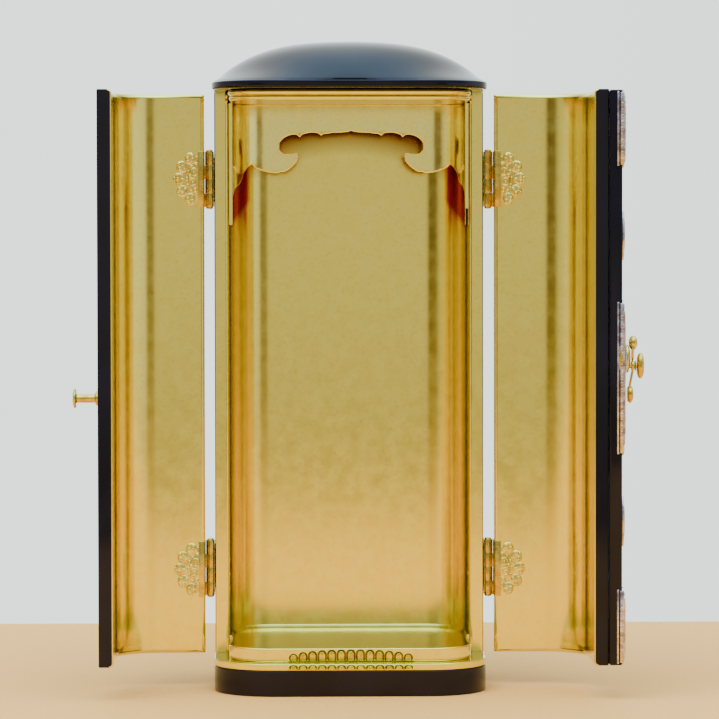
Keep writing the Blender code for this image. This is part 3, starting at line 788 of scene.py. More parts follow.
@dataclass(frozen=True)
class Palette:
    """All the finishes of the shrine, made once."""

    black: Finish
    red: Finish
    leaf: Finish
    wall_leaf: Finish
    brass: Finish
    chased: Finish
    rose: Finish
    yellow: Finish
    toned: Finish
    fresh_leaf: Finish

    @classmethod
    def mixed(cls) -> "Palette":
        """Build every material.

        Returns:
            The finishes.
        """
        return cls(
            black=Lacquer().material(),
            red=Lacquer("red_oxide_lacquer", "A8280F", "BC3818", 0.30).material(),
            leaf=GoldLeaf().material(),
            # Leaf of the case wall, with the valance's shadow and reflection painted on behind the valance
            wall_leaf=GoldLeaf("gold_leaf_with_painted_valance_shadow").material(painted_shadow=True),
            brass=GiltBrass("plain_gilt_brass", "E8CC5A", "C8A238", 0.0, 1 * MM).material(),
            chased=GiltBrass("chased_gilt_brass", "F8E778", "E2C650", 0.006 * MM, 0.7 * MM).material(),
            rose=GiltBrass("rose_gilt_brass", "EDE0DC", "A48E86", 0.03 * MM, 1.1 * MM).material(),
            yellow=GiltBrass("yellow_gilt_brass", "F2E248", "CDB62A", 0.0, 1 * MM).material(),
            # Darker brass: painted shade in the hinge slots, and the lower rims of the petals
            toned=GiltBrass("toned_gilt_brass", "86741C", "5E4C0C", 0.0, 1 * MM).material(),
            # Paler copy of the gold leaf for the valance: painted light, brighter than the same leaf
            # elsewhere
            fresh_leaf=GoldLeaf("gold_leaf_painted_lighter", "FFF284", "FBE970").material(),
        )


def dress(piece: Solid, *finishes: Finish, choose: Choice | None = None) -> Solid:
    """Give a piece its finishes.

    Args:
        piece: Piece to dress.
        *finishes: Its materials, by number.
        choose: Tells a face's number from its middle and its normal.

    Returns:
        The same piece.
    """
    piece.data.materials.clear()
    for finish in finishes:
        piece.data.materials.append(finish)
    for face in piece.data.polygons:
        face.material_index = choose(face.center, face.normal) if choose else 0
    return piece


def stand_in(piece: Solid, body: str, slot: Slot, *nodes: str) -> Solid:
    """Let a piece ride on a body in place of CAD nodes, and report it.

    Args:
        piece: Piece to work on.
        body: Body that it rides on.
        slot: Material slot of the record; not used.
        *nodes: CAD nodes that it stands for.

    Returns:
        The same piece.
    """
    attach(piece, body)
    if nodes:
        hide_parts(*nodes)
    log.info("%s: %d faces on %s", piece.name, len(piece.data.polygons), body)
    return piece


@dataclass(frozen=True)
class Boards:
    """Plinth, sill plate, dais and ceiling board.

    Args:
        dais_inset: Distance from the outside of the case to the dais.
        petals: Number of petals in each row.
        petal_width: Width of a petal.
        petal_relief: Relief of a petal.
        sill_petals: Foot above the sill's underside and height of the petals on its edge.
        dais_petals: The same for the dais, whose petals stop short of its top by their second size.
        ceiling_step: Height of the smaller bead under the ceiling board.
        ceiling_ease: Distance that the smaller bead stands back.
        bead: Size of the quarter-round bead along the foot of the wall inside.
        bead_lean: Share of its size by which the bead's crown is moved out.
        fit: Distance that dais and ceiling run out towards the walls beyond the CAD boards.
    """

    dais_inset: float = 6.2 * MM
    petals: int = 13
    petal_width: float = 3.5 * MM
    petal_relief: float = 0.4 * MM
    sill_petals: Point = (0.45 * MM, 1.7 * MM)
    dais_petals: Point = (0.25 * MM, 0.45 * MM)
    ceiling_step: float = 1.75 * MM
    ceiling_ease: float = 0.35 * MM
    bead: float = 1.4 * MM
    bead_lean: float = 0.42
    fit: float = 0.75 * MM

    def petal(self, middle: float, base: float, height: float, face_y: float) -> list[Solid]:
        """Model one petal: a raised rim round a groove, with a rib down its middle.

        Args:
            middle: Place of its middle in X.
            base: Height of its foot.
            height: Its height.
            face_y: Place of the board's face in Y.

        Returns:
            Its parts.
        """
        parts = []
        for share, relief in ((0.98, 0.35), (0.62, 0.75)):
            half = self.petal_width / 2 * share
            tall = height * (0.5 + share / 2)
            shoulder = max(tall - half, tall * 0.3)
            crest = [(middle + half * math.cos(a), base + shoulder + (tall - shoulder) * math.sin(a))
                     for a in (math.pi * step / 12 for step in range(13))]
            outline = [(middle + half, base)] + crest + [(middle - half, base)]
            back = face_y + 0.1 * MM
            parts.append(plate("petal", outline, back, face_y - self.petal_relief * relief, 0.12 * MM))
        rib_size = (self.petal_width * 0.11, self.petal_relief * 0.45, height * 0.36)
        parts.append(pebble((middle, face_y - self.petal_relief * 0.55, base + height * 0.42), rib_size, 10))
        for side in (-1, 1):
            spot = (middle + side * self.petal_width / 2, face_y - self.petal_relief * 0.4, base + 0.3 * MM)
            parts.append(pebble(spot, (0.4 * MM, self.petal_relief * 0.6, 0.32 * MM), 8))
        return parts

    def petal_row(self, base: float, height: float, face_y: float, arched: bool) -> list[Solid]:
        """Model a row of petals, under a low arch or level.

        Args:
            base: Height of their feet.
            height: Height of the tallest.
            face_y: Place of the board's face in Y.
            arched: Whether they stand under an arch.

        Returns:
            The parts of all petals.
        """
        row = []
        for number in range(self.petals):
            share = (2 * number + 1) / self.petals - 1
            reach = math.sqrt(1 - (0.93 * share) ** 2) if arched else 1.0
            middle = share * self.petals * self.petal_width / 2
            row += self.petal(middle, base, height * (0.25 + 0.75 * reach), face_y)
        return row

    def with_petals(self, base: Solid, row: Sequence[Solid], face_y: float, palette: Palette) -> None:
        """Dress a board in leaf and its petals in yellower brass with darker lower rims, and join them.

        Args:
            base: The board.
            row: Parts of its petals.
            face_y: Place of the board's face in Y.
            palette: Finishes of the shrine.
        """
        rim = face_y - self.petal_relief * 0.5
        dress(base, palette.leaf)
        for petal in row:
            dress(petal, palette.yellow, palette.toned, choose=lambda middle, normal: int(middle.y > rim))
        smooth(merge(base.name, [base, *row]))

    def build(self, palette: Palette) -> None:
        """Build and dress the four boards.

        Args:
            palette: Finishes of the shrine.
        """
        corner = LAYOUT.corner
        low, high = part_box("plinth")
        plinth = board("lacquered_plinth", low, high, corner, 0.5 * MM)
        stand_in(dress(plinth, palette.black), "case", Slot.LACQUER, "plinth")

        low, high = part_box("sill_plate")
        face = -LAYOUT.half_depth
        low.y = face
        low.z -= TUCK
        sill = board("gilt_sill_plate", low, high, corner, 0.35 * MM)
        foot, tall = self.sill_petals
        row = self.petal_row(low.z + foot, tall, face, False)
        self.with_petals(sill, row, face, palette)
        stand_in(sill, "case", Slot.LEAF, "sill_plate")

        low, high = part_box("dais")
        inset = self.dais_inset
        face = inset - LAYOUT.half_depth
        low.y = face
        low.z -= TUCK
        low.x -= self.fit
        high.x += self.fit
        dais = board("gilt_dais", low, high, corner - inset, 0.45 * MM)
        foot, short = self.dais_petals
        row = self.petal_row(low.z + foot, high.z - low.z - short, face, True)
        self.with_petals(dais, row, face, palette)
        stand_in(dais, "case", Slot.LEAF, "dais")

        low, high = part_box("ceiling_board")
        low.x -= self.fit
        high.x += self.fit
        step = low.z + self.ceiling_step
        upper_low, upper_high = (low.x, low.y, step), (high.x, high.y, high.z + TUCK)
        upper = board("gilt_ceiling_board", upper_low, upper_high, corner - inset, 1.05 * MM)
        eased = self.ceiling_ease
        lower_low = (low.x + eased, low.y + eased, low.z)
        lower_high = (high.x - eased, high.y - eased, step + 0.2 * MM)
        lower = board("lower_bead", lower_low, lower_high, corner - inset - eased, 0.9 * MM)
        ceiling = merge("gilt_ceiling_board", [upper, lower])
        stand_in(dress(ceiling, palette.leaf), "case", Slot.LEAF, "ceiling_board")
        self.floor_bead(palette)

    def floor_bead(self, palette: Palette) -> None:
        """Build the quarter-round bead between the dais and the case wall.

        Args:
            palette: Finishes of the shrine.
        """
        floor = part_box("dais")[1].z
        reach = LAYOUT.half_width - LAYOUT.wall
        back = LAYOUT.half_depth - LAYOUT.wall
        low = (-reach, LAYOUT.jamb_y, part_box("dais")[0].z)
        bead = block("gilt_floor_bead", low, (reach, back, floor + self.bead))
        round_edges(bead, lambda a, b: upright(a, b) and near(a.y, back), LAYOUT.corner - LAYOUT.wall, 24)
        drop_faces(bead, lambda middle, normal: abs(normal.z) > 0.9 or normal.y < -0.9)
        apply_modifier(bead, "SOLIDIFY", thickness=self.bead, offset=-1.0, use_even_offset=True)
        tidy_mesh(bead)
        with editing(bead, "VERT"):
            bpy.ops.mesh.select_all(action="SELECT")
            bpy.ops.mesh.bisect(plane_co=(0, 0, floor), plane_no=(0, 0, 1))
        inner_x, inner_y = reach - self.bead, back - self.bead
        radius = LAYOUT.corner - LAYOUT.wall
        centre = Vector((reach - radius, back - radius))

        def crown(place: Vector) -> bool:
            """Tell whether a place lies on the inner upper edge.

            Args:
                place: Place to look at.

            Returns:
                Whether it does.
            """
            spread = Vector((abs(place.x), place.y)) - centre
            curve = near(spread.length, radius - self.bead) and spread.x > 0 and spread.y > 0
            straight = near(abs(place.x), inner_x) or near(place.y, inner_y)
            return near(place.z, floor + self.bead) and (curve or straight)

        for vertex in bead.data.vertices:
            place = vertex.co
            if not crown(place):
                continue
            spread = Vector((abs(place.x), place.y)) - centre
            if spread.x > 0 and spread.y > 0:
                outward = Vector((math.copysign(spread.x, place.x), spread.y, 0)).normalized()
            elif near(abs(place.x), inner_x):
                outward = Vector((math.copysign(1.0, place.x), 0, 0))
            else:
                outward = Vector((0, 1, 0))
            vertex.co = place + outward * self.bead * self.bead_lean
        stand_in(dress(smooth(bead, 50), palette.leaf), "case", Slot.LEAF)


@dataclass(frozen=True)
class Carcass:
    """Bent wall of the case.

    Args:
        arris: Radius of the outer arrises.
        inner_arris: Radius of the arrises inside the jambs.
        nail_levels: Heights of the nail tips inside each side wall.
        nail_y: Place of the nail tips from front to back.
    """

    arris: float = 0.45 * MM
    inner_arris: float = 1.3 * MM
    nail_levels: tuple[float, ...] = (35.2 * MM, 40.7 * MM, 46.2 * MM, 180.6 * MM, 186.1 * MM, 191.6 * MM)
    nail_y: float = 5.0 * MM

    def nails(self, palette: Palette) -> None:
        """Build the tips of the hinge nails where they come through the side walls.

        Args:
            palette: Finishes of the shrine.
        """
        tips = []
        for side in (-1, 1):
            for level in self.nail_levels:
                place = (side * (LAYOUT.half_width - LAYOUT.wall), self.nail_y, level)
                tips.append(pebble(place, (0.3 * MM, 0.45 * MM, 0.45 * MM), 8))
        stand_in(dress(smooth(merge("nail_tips", tips)), palette.brass), "case", Slot.BRASS)

    def build(self, palette: Palette) -> None:
        """Build and dress the wall.

        Args:
            palette: Finishes of the shrine.
        """
        low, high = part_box("case_shell")
        low.z -= TUCK
        high.z += TUCK
        wall = block("bent_case_wall", low, high)
        front = low.y
        round_edges(wall, lambda a, b: upright(a, b) and near(a.y, high.y), LAYOUT.corner, 28)
        drop_faces(wall, lambda middle, normal: abs(normal.z) > 0.9 or normal.y < -0.9)
        apply_modifier(wall, "SOLIDIFY", thickness=LAYOUT.wall, offset=-1.0, use_even_offset=True)

        def jamb(reach: float) -> Test:
            """Test for the upright arris of a jamb at a distance from the middle."""
            return lambda a, b: upright(a, b) and near(a.y, front) and near(abs(a.x), reach)

        round_edges(wall, jamb(LAYOUT.half_width - LAYOUT.wall), self.inner_arris, 6)
        round_edges(wall, jamb(LAYOUT.half_width), self.arris, 4)
        flatten(smooth(tidy_mesh(wall)))

        def side(middle: Vector, normal: Vector) -> int:
            """Number of the finish: black outside, gold inside and on the jambs.

            Args:
                middle: Middle of the face.
                normal: Normal of the face.

            Returns:
                Number of the finish.
            """
            outside = normal.y > -0.1 or abs(middle.x) > LAYOUT.half_width - 0.3 * MM
            inward = Vector((middle.x, middle.y - LAYOUT.jamb_y)).dot(Vector((normal.x, normal.y))) < 0
            if near(middle.z, low.z) or near(middle.z, high.z):
                return 0
            return 1 if inward or not outside else 0

        # The leaf inside carries the painted shadow and reflection of the valance
        dress(wall, palette.black, palette.wall_leaf, choose=side)
        stand_in(wall, "case", Slot.LACQUER, "case_shell")
        self.nails(palette)


@dataclass(frozen=True)
class Roof:
    """Cushion-shaped roof board.

    Args:
        overhang: Distance that it stands out beyond the case.
        rim: Height of its upright rim.
        rise: Height of the dome above the rim.
        fullness: Power that flattens the middle of the dome.
        shoulder: Power that rounds it near the rim.
        rings: Number of rings up the dome.
        arris: Radius of the rim's upper arris, half that of the lower one.
    """

    overhang: float = 0.5 * MM
    rim: float = 2.8 * MM
    rise: float = 15.8 * MM
    fullness: float = 3.0
    shoulder: float = 0.9
    rings: int = 30
    arris: float = 0.45 * MM

    def height(self, share: float) -> float:
        """Height above the rim at a share of the half width."""
        return self.rise * max(0.0, 1.0 - share ** self.fullness) ** self.shoulder

    def ease_corners(self, roof: Solid, high: Vector) -> None:
        """Let the rings of the dome pass from the plan of the case into ellipses towards its top.

        Args:
            roof: Roof to shape.
            high: Highest corner of its rim.
        """
        for vertex in roof.data.vertices:
            place = vertex.co
            rise = (place.z - high.z) / self.rise
            spread = math.hypot(place.x / high.x, place.y / high.y)
            if rise <= 0.0 or spread < 1e-4:
                continue
            share = (1.0 - rise ** (1.0 / self.shoulder)) ** (1.0 / self.fullness)
            pull = 1.0 - (1.0 - min(1.0, share / spread)) * (1.0 - share ** 16)
            place.x *= pull
            place.y *= pull

    def build(self, palette: Palette) -> None:
        """Build and dress the roof.

        Args:
            palette: Finishes of the shrine.
        """
        low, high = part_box("roof")
        high.z = low.z + self.rim
        roof = block("domed_roof", low, high)
        round_edges(roof, upright, LAYOUT.corner + self.overhang, 28)
        with editing(roof, "VERT"):
            for number in range(-8, 9):
                for axis, reach in ((0, high.x), (1, high.y)):
                    cut, across = [0.0, 0.0, 0.0], [0.0, 0.0, 0.0]
                    cut[axis] = (reach - LAYOUT.corner - self.overhang) * number / 9
                    across[axis] = 1.0
                    bpy.ops.mesh.select_all(action="SELECT")
                    bpy.ops.mesh.bisect(plane_co=cut, plane_no=across)
        round_edges(roof, lambda a, b: near(a.z, b.z) and near(a.z, high.z), self.arris, 3)
        round_edges(roof, lambda a, b: near(a.z, b.z) and near(a.z, low.z), 2 * self.arris, 5)
        with editing(roof, "FACE") as shape:
            for face in shape.faces:
                if face.normal.z > 0.99:
                    face.select_set(True)
            share = 1.0 - self.arris / high.x
            reach, level = share, 0.0
            for step in range(1, self.rings + 1):
                inward = share * math.cos(math.pi / 2 * step / (self.rings + 0.5))
                rise = self.height(inward)
                bpy.ops.mesh.extrude_region_move(TRANSFORM_OT_translate={"value": (0, 0, rise - level)})
                ratio = inward / reach
                bpy.ops.transform.resize(value=(ratio, ratio, 1), center_override=(0, 0, 0))
                reach, level = inward, rise
            bpy.ops.mesh.merge(type="CENTER")
        self.ease_corners(roof, high)
        smooth(tidy_mesh(roof), 30)
        stand_in(dress(roof, palette.black), "case", Slot.LACQUER, "roof")


@dataclass(frozen=True)
class Valance:
    """Cusped board that hangs from the ceiling and follows the case wall.

    Args:
        thickness: Thickness of the board.
        bend: Radius of its middle line round the corners.
        setback: Distance of its front part behind the jambs.
        gap: Distance of its sides from the wall.
        shift: Distance that its cusps stand to the right of the middle.
    """

    thickness: float = 1.5 * MM
    bend: float = 13.9 * MM
    setback: float = 16.5 * MM
    gap: float = 0.05 * MM
    shift: float = 1.2 * MM

    @property
    def side_x(self) -> float:
        """Distance of the sides' middle line from the middle."""
        return LAYOUT.half_width - LAYOUT.wall - self.gap - self.thickness / 2

    @property
    def flat_half(self) -> float:
        """Half of the flat front part's length."""
        return self.side_x - self.bend

    def edge(self, length: float) -> list[Point]:
        """Lower edge of the right half: distance along the board and drop, both in metres.

        Args:
            length: Length of the board from the middle to its end.

        Returns:
            The points of the edge.
        """
        points = [(0.0, -9.3), (0.9, -9.75), (2.6, -9.95), (4.4, -10.1), (7.0, -10.15), (9.0, -10.5)]
        lobes = (
            ((11.4, 11.3), 0.3, 3),
            ((19.4, 11.9), 1.5, 9),
            ((27.1, 15.6), 2.5, 12),
            ((24.2, 18.1), 0.9, 6),
            ((20.6, 17.8), 0.1, 3),
            ((20.2, 19.5), -0.5, 5),
            ((26.6, 24.9), -1.3, 9),
            ((38.0, 22.2), -1.3, 9),
            ((42.6, 27.0), 0.7, 5),
            ((45.6, 30.2), -0.5, 4),
            ((52.6, 36.0), 0.5, 6),
        )
        for (reach, drop), bulge, steps in lobes:
            points += sweep(points[-1], (reach, -drop), bulge, steps)
        points += sweep(points[-1], (length / MM, -45.1), 0.3, 6)
        return [(reach * MM, drop * MM) for reach, drop in points]

    def bent(self, place: Vector, top: float) -> Vector:
        """Place on the bent board of a place on the flat one.

        Args:
            place: Place on the flat board.
            top: Height of the board's top.

        Returns:
            Place on the bent board.
        """
        reach = abs(place.x)
        side = math.copysign(1.0, place.x)
        turn_length = self.bend * math.pi / 2
        crossing = LAYOUT.jamb_y + self.setback
        if reach <= self.flat_half:
            return Vector((place.x, crossing + place.y, top + place.z))
        if reach <= self.flat_half + turn_length:
            turn = (reach - self.flat_half) / self.bend
            radius = self.bend + place.y
            x = self.flat_half + radius * math.sin(turn)
            y = crossing - self.bend + radius * math.cos(turn)
            return Vector((side * x, y, top + place.z))
        y = crossing - self.bend - (reach - self.flat_half - turn_length)
        return Vector((side * (self.side_x + place.y), y, top + place.z))

    def build(self, palette: Palette) -> None:
        """Cut the board out flat, bend it and dress it.

        Args:
            palette: Finishes of the shrine.
        """
        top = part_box("valance")[1].z
        turn_length = self.bend * math.pi / 2
        length = self.flat_half + turn_length + self.setback - self.bend
        right = self.edge(length)
        left = [(-reach, drop) for reach, drop in reversed(right[1:])]
        edge = [(min(length, max(-length, reach + self.shift * (abs(reach) < length))), drop)
                for reach, drop in left + right]
        outline = [(length, 0.3 * MM), (-length, 0.3 * MM)] + edge
        half = self.thickness / 2
        sheet = plate("cusped_valance", outline, half, -half, 0.35 * MM)
        with editing(sheet, "VERT"):
            for number in range(17):
                for side in (-1, 1):
                    cut = side * (self.flat_half + turn_length * number / 16)
                    bpy.ops.mesh.select_all(action="SELECT")
                    bpy.ops.mesh.bisect(plane_co=(cut, 0, 0), plane_no=(1, 0, 0))
        for vertex in sheet.data.vertices:
            vertex.co = self.bent(vertex.co, top)
        flatten(smooth(tidy_mesh(sheet), 40))
        crossing = LAYOUT.jamb_y + self.setback

        def surface(middle: Vector, normal: Vector) -> int:
            """Number of the finish: gold towards the viewer and on the cut edge, red behind.

            Args:
                middle: Middle of the face.
                normal: Normal of the face.

            Returns:
                Number of the finish.
            """
            outward = Vector((middle.x * 0.7, middle.y - (crossing - self.bend), 0))
            behind = outward.dot(normal) > 0.5 * outward.length
            return 1 if behind and normal.y > 0.3 else 0

        # The valance's gold side is in the paler leaf, painted light
        stand_in(dress(sheet, palette.fresh_leaf, palette.red, choose=surface), "case", Slot.LEAF, "valance")


@dataclass(frozen=True)
class DoorPanel:
    """Door board that is bent round the front corner of the case.

    Args:
        side: Which door.
        arris: Radius of its outer arrises.
        soft_arris: Radius of its inner arrises, which the gold runs over.
        low: Its foot.
        high: Its head.
        meeting: Distance of its meeting edge from the middle.
    """

    side: Side
    arris: float = 0.45 * MM
    soft_arris: float = 1.5 * MM
    low: float = 12.4 * MM
    high: float = 220.5 * MM
    meeting: float = 0.2 * MM

    def build(self, palette: Palette) -> None:
        """Build the door shut, dress it and swing it open.

        Args:
            palette: Finishes of the shrine.
        """
        sign = self.side.value
        outer_x = sign * LAYOUT.half_width
        inner_x = sign * (LAYOUT.half_width - LAYOUT.wall)
        meeting = sign * self.meeting
        front, edge_y = -LAYOUT.half_depth, LAYOUT.jamb_y - LAYOUT.hinge_gap
        low = (min(outer_x, meeting), front, self.low)
        high = (max(outer_x, meeting), edge_y, self.high)
        door = block(f"{self.side.name.lower()}_door_board", low, high)

        def corner(start: Vector, end: Vector) -> bool:
            """Tell whether an edge is the door's bend."""
            return upright(start, end) and near(start.y, front) and near(start.x, outer_x)

        def inner_rim(start: Vector, end: Vector) -> bool:
            """Tell whether an edge bounds the gilded face, except where the doors meet.

            Args:
                start: First end of the edge.
                end: Second end of the edge.

            Returns:
                Whether it does.
            """
            inside = []
            for place in (start, end):
                flat = near(place.x, inner_x) or near(place.y, front + LAYOUT.wall)
                inside.append(flat or self.on_inner_bend(place))
            level = near(start.z, end.z) and (near(start.z, self.low) or near(start.z, self.high))
            hinge_edge = upright(start, end) and near(start.y, edge_y)
            return all(inside) and (level or hinge_edge)

        round_edges(door, corner, LAYOUT.corner, 28)
        drop_faces(door, lambda middle, normal: abs(normal.z) > 0.9 or normal.y > 0.9
                   or normal.x * sign < -0.9)
        apply_modifier(door, "SOLIDIFY", thickness=LAYOUT.wall, offset=-1.0, use_even_offset=True)
        round_edges(door, inner_rim, self.soft_arris, 6)
        tidy_mesh(door)
        limits = {"limit_method": "ANGLE", "angle_limit": math.radians(60)}
        apply_modifier(door, "BEVEL", width=self.arris, segments=3, **limits)
        flatten(smooth(door, 40))

        def surface(middle: Vector, normal: Vector) -> int:
            """Number of the finish: gold inside and over its rounded rim, black elsewhere.

            Args:
                middle: Middle of the face.
                normal: Normal of the face.

            Returns:
                Number of the finish.
            """
            centre = Vector((sign * (LAYOUT.half_width - LAYOUT.corner), front + LAYOUT.corner))
            outward = Vector((middle.x, middle.y)) - centre
            radius = outward.length
            bend = sign * outward.x > 0 and outward.y < 0
            flat = min(LAYOUT.half_width - abs(middle.x), middle.y - front)
            depth = LAYOUT.corner - radius if bend else flat
            if near(middle.x, meeting):
                return 0
            if middle.y > edge_y - 0.4 * MM:
                return 1 if depth > 0.6 * MM else 0
            return 1 if depth > LAYOUT.wall - self.soft_arris - 0.05 * MM else 0

        dress(door, palette.black, palette.leaf, choose=surface)
        LAYOUT.swing(door, self.side)
        stand_in(door, self.side.body, Slot.LACQUER, f"door_{self.side.name.lower()}")

    def on_inner_bend(self, place: Vector) -> bool:
        """Tell whether a place lies on the inside of the door's bend.

        Args:
            place: Place to look at.

        Returns:
            Whether it does.
        """
        centre_x = self.side.value * (LAYOUT.half_width - LAYOUT.corner)
        reach = math.hypot(place.x - centre_x, place.y + LAYOUT.half_depth - LAYOUT.corner)
        return near(reach, LAYOUT.corner - LAYOUT.wall)


@dataclass(frozen=True)
class HingeSet:
    """Four butt hinges with half-round chased ornaments.

    Args:
        levels: Heights of the lower and the upper hinge.
        height: Height of a hinge.
        knuckle: Radius of a knuckle.
        stand_off: Distance of the pin from the outside of the case.
        sheet: Thickness of the leaves.
        strip: Width of the plain strip beside the ornament.
        joint: Gap between two knuckles.
        lip: Half of the strips' width along the door's edge.
    """

    levels: tuple[tuple[str, float], ...] = (("lower", 43.75 * MM), ("upper", 189.15 * MM))
    height: float = 20.8 * MM
    knuckle: float = 1.58 * MM
    stand_off: float = 1.88 * MM
    sheet: float = 0.5 * MM
    strip: float = 2.4 * MM
    joint: float = 0.06 * MM
    lip: float = 0.7 * MM

    def ornament(self) -> Solid:
        """Model the chased half-round ornament: reach along +X, height along Z, relief to -Y.

        Returns:
            The ornament.
        """
        parts = []
        ground = arc((0.0, 0.0), 7.4 * MM, -90, 90, 24)
        parts.append(plate("ornament_ground", ground, 0.0, -0.2 * MM, 0.08 * MM))
        for angle in (-66, -33, 0, 33, 66):
            turn = math.radians(angle)
            along = Vector((math.cos(turn), 0, math.sin(turn)))
            across = Vector((-math.sin(turn), 0, math.cos(turn)))
            place = along * 7.2 * MM
            parts.append(pebble(place, (2.2 * MM, 0.5 * MM, 2.15 * MM), 12, -turn))
            for side in (-1, 1):
                curl = place + (along * 0.5 + across * side * 0.95) * MM
                parts.append(ring(curl + Vector((0, -0.42 * MM, 0)), 0.62 * MM, 0.24 * MM))
                parts.append(pebble(curl + Vector((0, -0.3 * MM, 0)), (0.4 * MM, 0.36 * MM, 0.4 * MM), 8))
            parts.append(pebble(place + along * 1.7 * MM, (0.55 * MM, 0.5 * MM, 0.9 * MM), 8, -turn))
            parts.append(pebble(place - along * 1.2 * MM, (0.9 * MM, 0.62 * MM, 0.45 * MM), 8, -turn))
        parts.append(pebble((0, 0, 0), (4.4 * MM, 0.5 * MM, 5.4 * MM), 14))
        for x, z, radius in ((1.6, 2.3, 1.25), (2.1, -1.0, 1.2), (1.2, -3.7, 0.7), (3.1, 1.0, 0.5)):
            parts.append(ring((x * MM, -0.5 * MM, z * MM), radius * MM, 0.3 * MM))
            parts.append(pebble((x * MM, -0.46 * MM, z * MM), (0.5 * MM, 0.42 * MM, 0.5 * MM), 8))
        for angle in range(-78, 79, 26):
            turn = math.radians(angle)
            spot = (4.3 * math.cos(turn) * MM, -0.15 * MM, 5.2 * math.sin(turn) * MM)
            parts.append(pebble(spot, (0.5 * MM, 0.42 * MM, 0.8 * MM), 8, -turn))
        fan = merge("ornament", parts)
        with editing(fan, "VERT"):
            bpy.ops.mesh.select_all(action="SELECT")
            bpy.ops.mesh.bisect(plane_co=(0, 0, 0), plane_no=(1, 0, 0), clear_inner=True, use_fill=True)
            bpy.ops.mesh.select_all(action="SELECT")
            bpy.ops.mesh.bisect(plane_co=(0, 0, 0), plane_no=(0, 1, 0), clear_outer=True, use_fill=True)
            bpy.ops.mesh.select_all(action="SELECT")
            bpy.ops.mesh.normals_make_consistent(inside=False)
        fan.data.transform(Matrix.Scale(1.12, 4, (0, 0, 1)))
        return smooth(fan, 50)

    def knuckles(self, first: int) -> list[Solid]:
        """Model every second knuckle about the pin, counted from the top.

        Args:
            first: Number of the first one, from 0.

        Returns:
            The knuckles.
        """
        pitch = self.height / 4
        rods = []
        for number in range(first, 4, 2):
            foot = (0, 0, self.height / 2 - pitch * (number + 1) + self.joint / 2)
            rods.append(rod("knuckle", foot, self.knuckle, pitch - self.joint, 0.07 * MM))
        return rods

    def slab(self, low: Sequence[float], high: Sequence[float]) -> Solid:
        """Model a strip of sheet with eased edges.

        Args:
            low: Lowest corner.
            high: Highest corner.

        Returns:
            The strip.
        """
        piece = block("slab", low, high)
        round_edges(piece, lambda a, b: True, 0.12 * MM, 2)
        return piece

    def case_leaf(self, palette: Palette) -> Solid:
        """Model the leaf on the outside of the case, about the left pin.

        Args:
            palette: Finishes of the shrine.

        Returns:
            The leaf.
        """
        half = self.height / 2
        outer_x = self.stand_off - 0.3 * MM - self.sheet
        end = self.knuckle + self.strip
        strip = self.slab((outer_x, -self.knuckle / 2, -half), (outer_x + self.sheet, end, half))
        fan = self.ornament()
        turn = Matrix.Rotation(math.pi / 2, 4, "Z") @ Matrix.Scale(-1, 4, (0, 1, 0))
        fan.data.transform(Matrix.Translation((outer_x + self.sheet, end - 0.3 * MM, 0)) @ turn)
        fan.data.flip_normals()

        def shaded(middle: Vector, normal: Vector) -> int:
            """Number of the finish: darker on the side towards the door's slot, a painted shade of the slot,
            bright elsewhere.
            """
            return int(normal.x < -0.6)

        # Knuckle sides towards the door's slot are in the darker brass, painted shade of the slot
        plain = [dress(piece, palette.brass, palette.toned, choose=shaded) for piece in self.knuckles(0)]
        chased = [dress(piece, palette.chased) for piece in (strip, fan)]
        return merge("case_leaf_pattern", plain + chased)

    def door_leaf(self, palette: Palette) -> Solid:
        """Model the leaf that wraps round the left door's edge, about its pin, door shut.

        Args:
            palette: Finishes of the shrine.

        Returns:
            The leaf.
        """
        half = self.height / 2
        edge_y = LAYOUT.jamb_y - LAYOUT.hinge_gap - LAYOUT.axis_y
        back_y = edge_y - self.sheet
        inner_x = self.stand_off + LAYOUT.wall + 0.05 * MM
        strip_end = edge_y - self.strip
        pieces = self.knuckles(1)
        for knuckle in (1, 3):
            top = half - self.height / 4 * knuckle
            foot = top - self.height / 4
            pieces.append(self.slab((-self.lip, back_y, foot), (self.lip, -0.8 * MM, top)))
        for low, high in (
            ((-self.lip, back_y, -half), (inner_x + self.sheet, edge_y, half)),
            ((-self.lip, back_y, -half), (self.lip, -self.knuckle - 0.15 * MM, half)),
            ((inner_x, strip_end, -half), (inner_x + self.sheet, edge_y, half)),
        ):
            pieces.append(self.slab(low, high))
        fan = self.ornament()
        turn = Matrix.Rotation(-math.pi / 2, 4, "Z") @ Matrix.Scale(-1, 4, (0, 1, 0))
        fan.data.transform(Matrix.Translation((inner_x, strip_end + 0.3 * MM, 0)) @ turn)
        fan.data.flip_normals()
        plain = [dress(piece, palette.brass) for piece in pieces]
        return merge("door_leaf_pattern", plain + [dress(fan, palette.chased)])

    def pin(self) -> Solid:
        """Model the pin with a button at each end.

        Returns:
            The pin.
        """
        half = self.height / 2
        shank = rod("pin", (0, 0, -half - 0.2 * MM), 0.8 * MM, self.height + 0.4 * MM, 0.1 * MM)
        parts = [shank]
        for side in (-1, 1):
            parts.append(pebble((0, 0, side * (half + 0.25 * MM)), (1.35 * MM, 1.35 * MM, 0.5 * MM), 12))
        return merge("pin_pattern", parts)

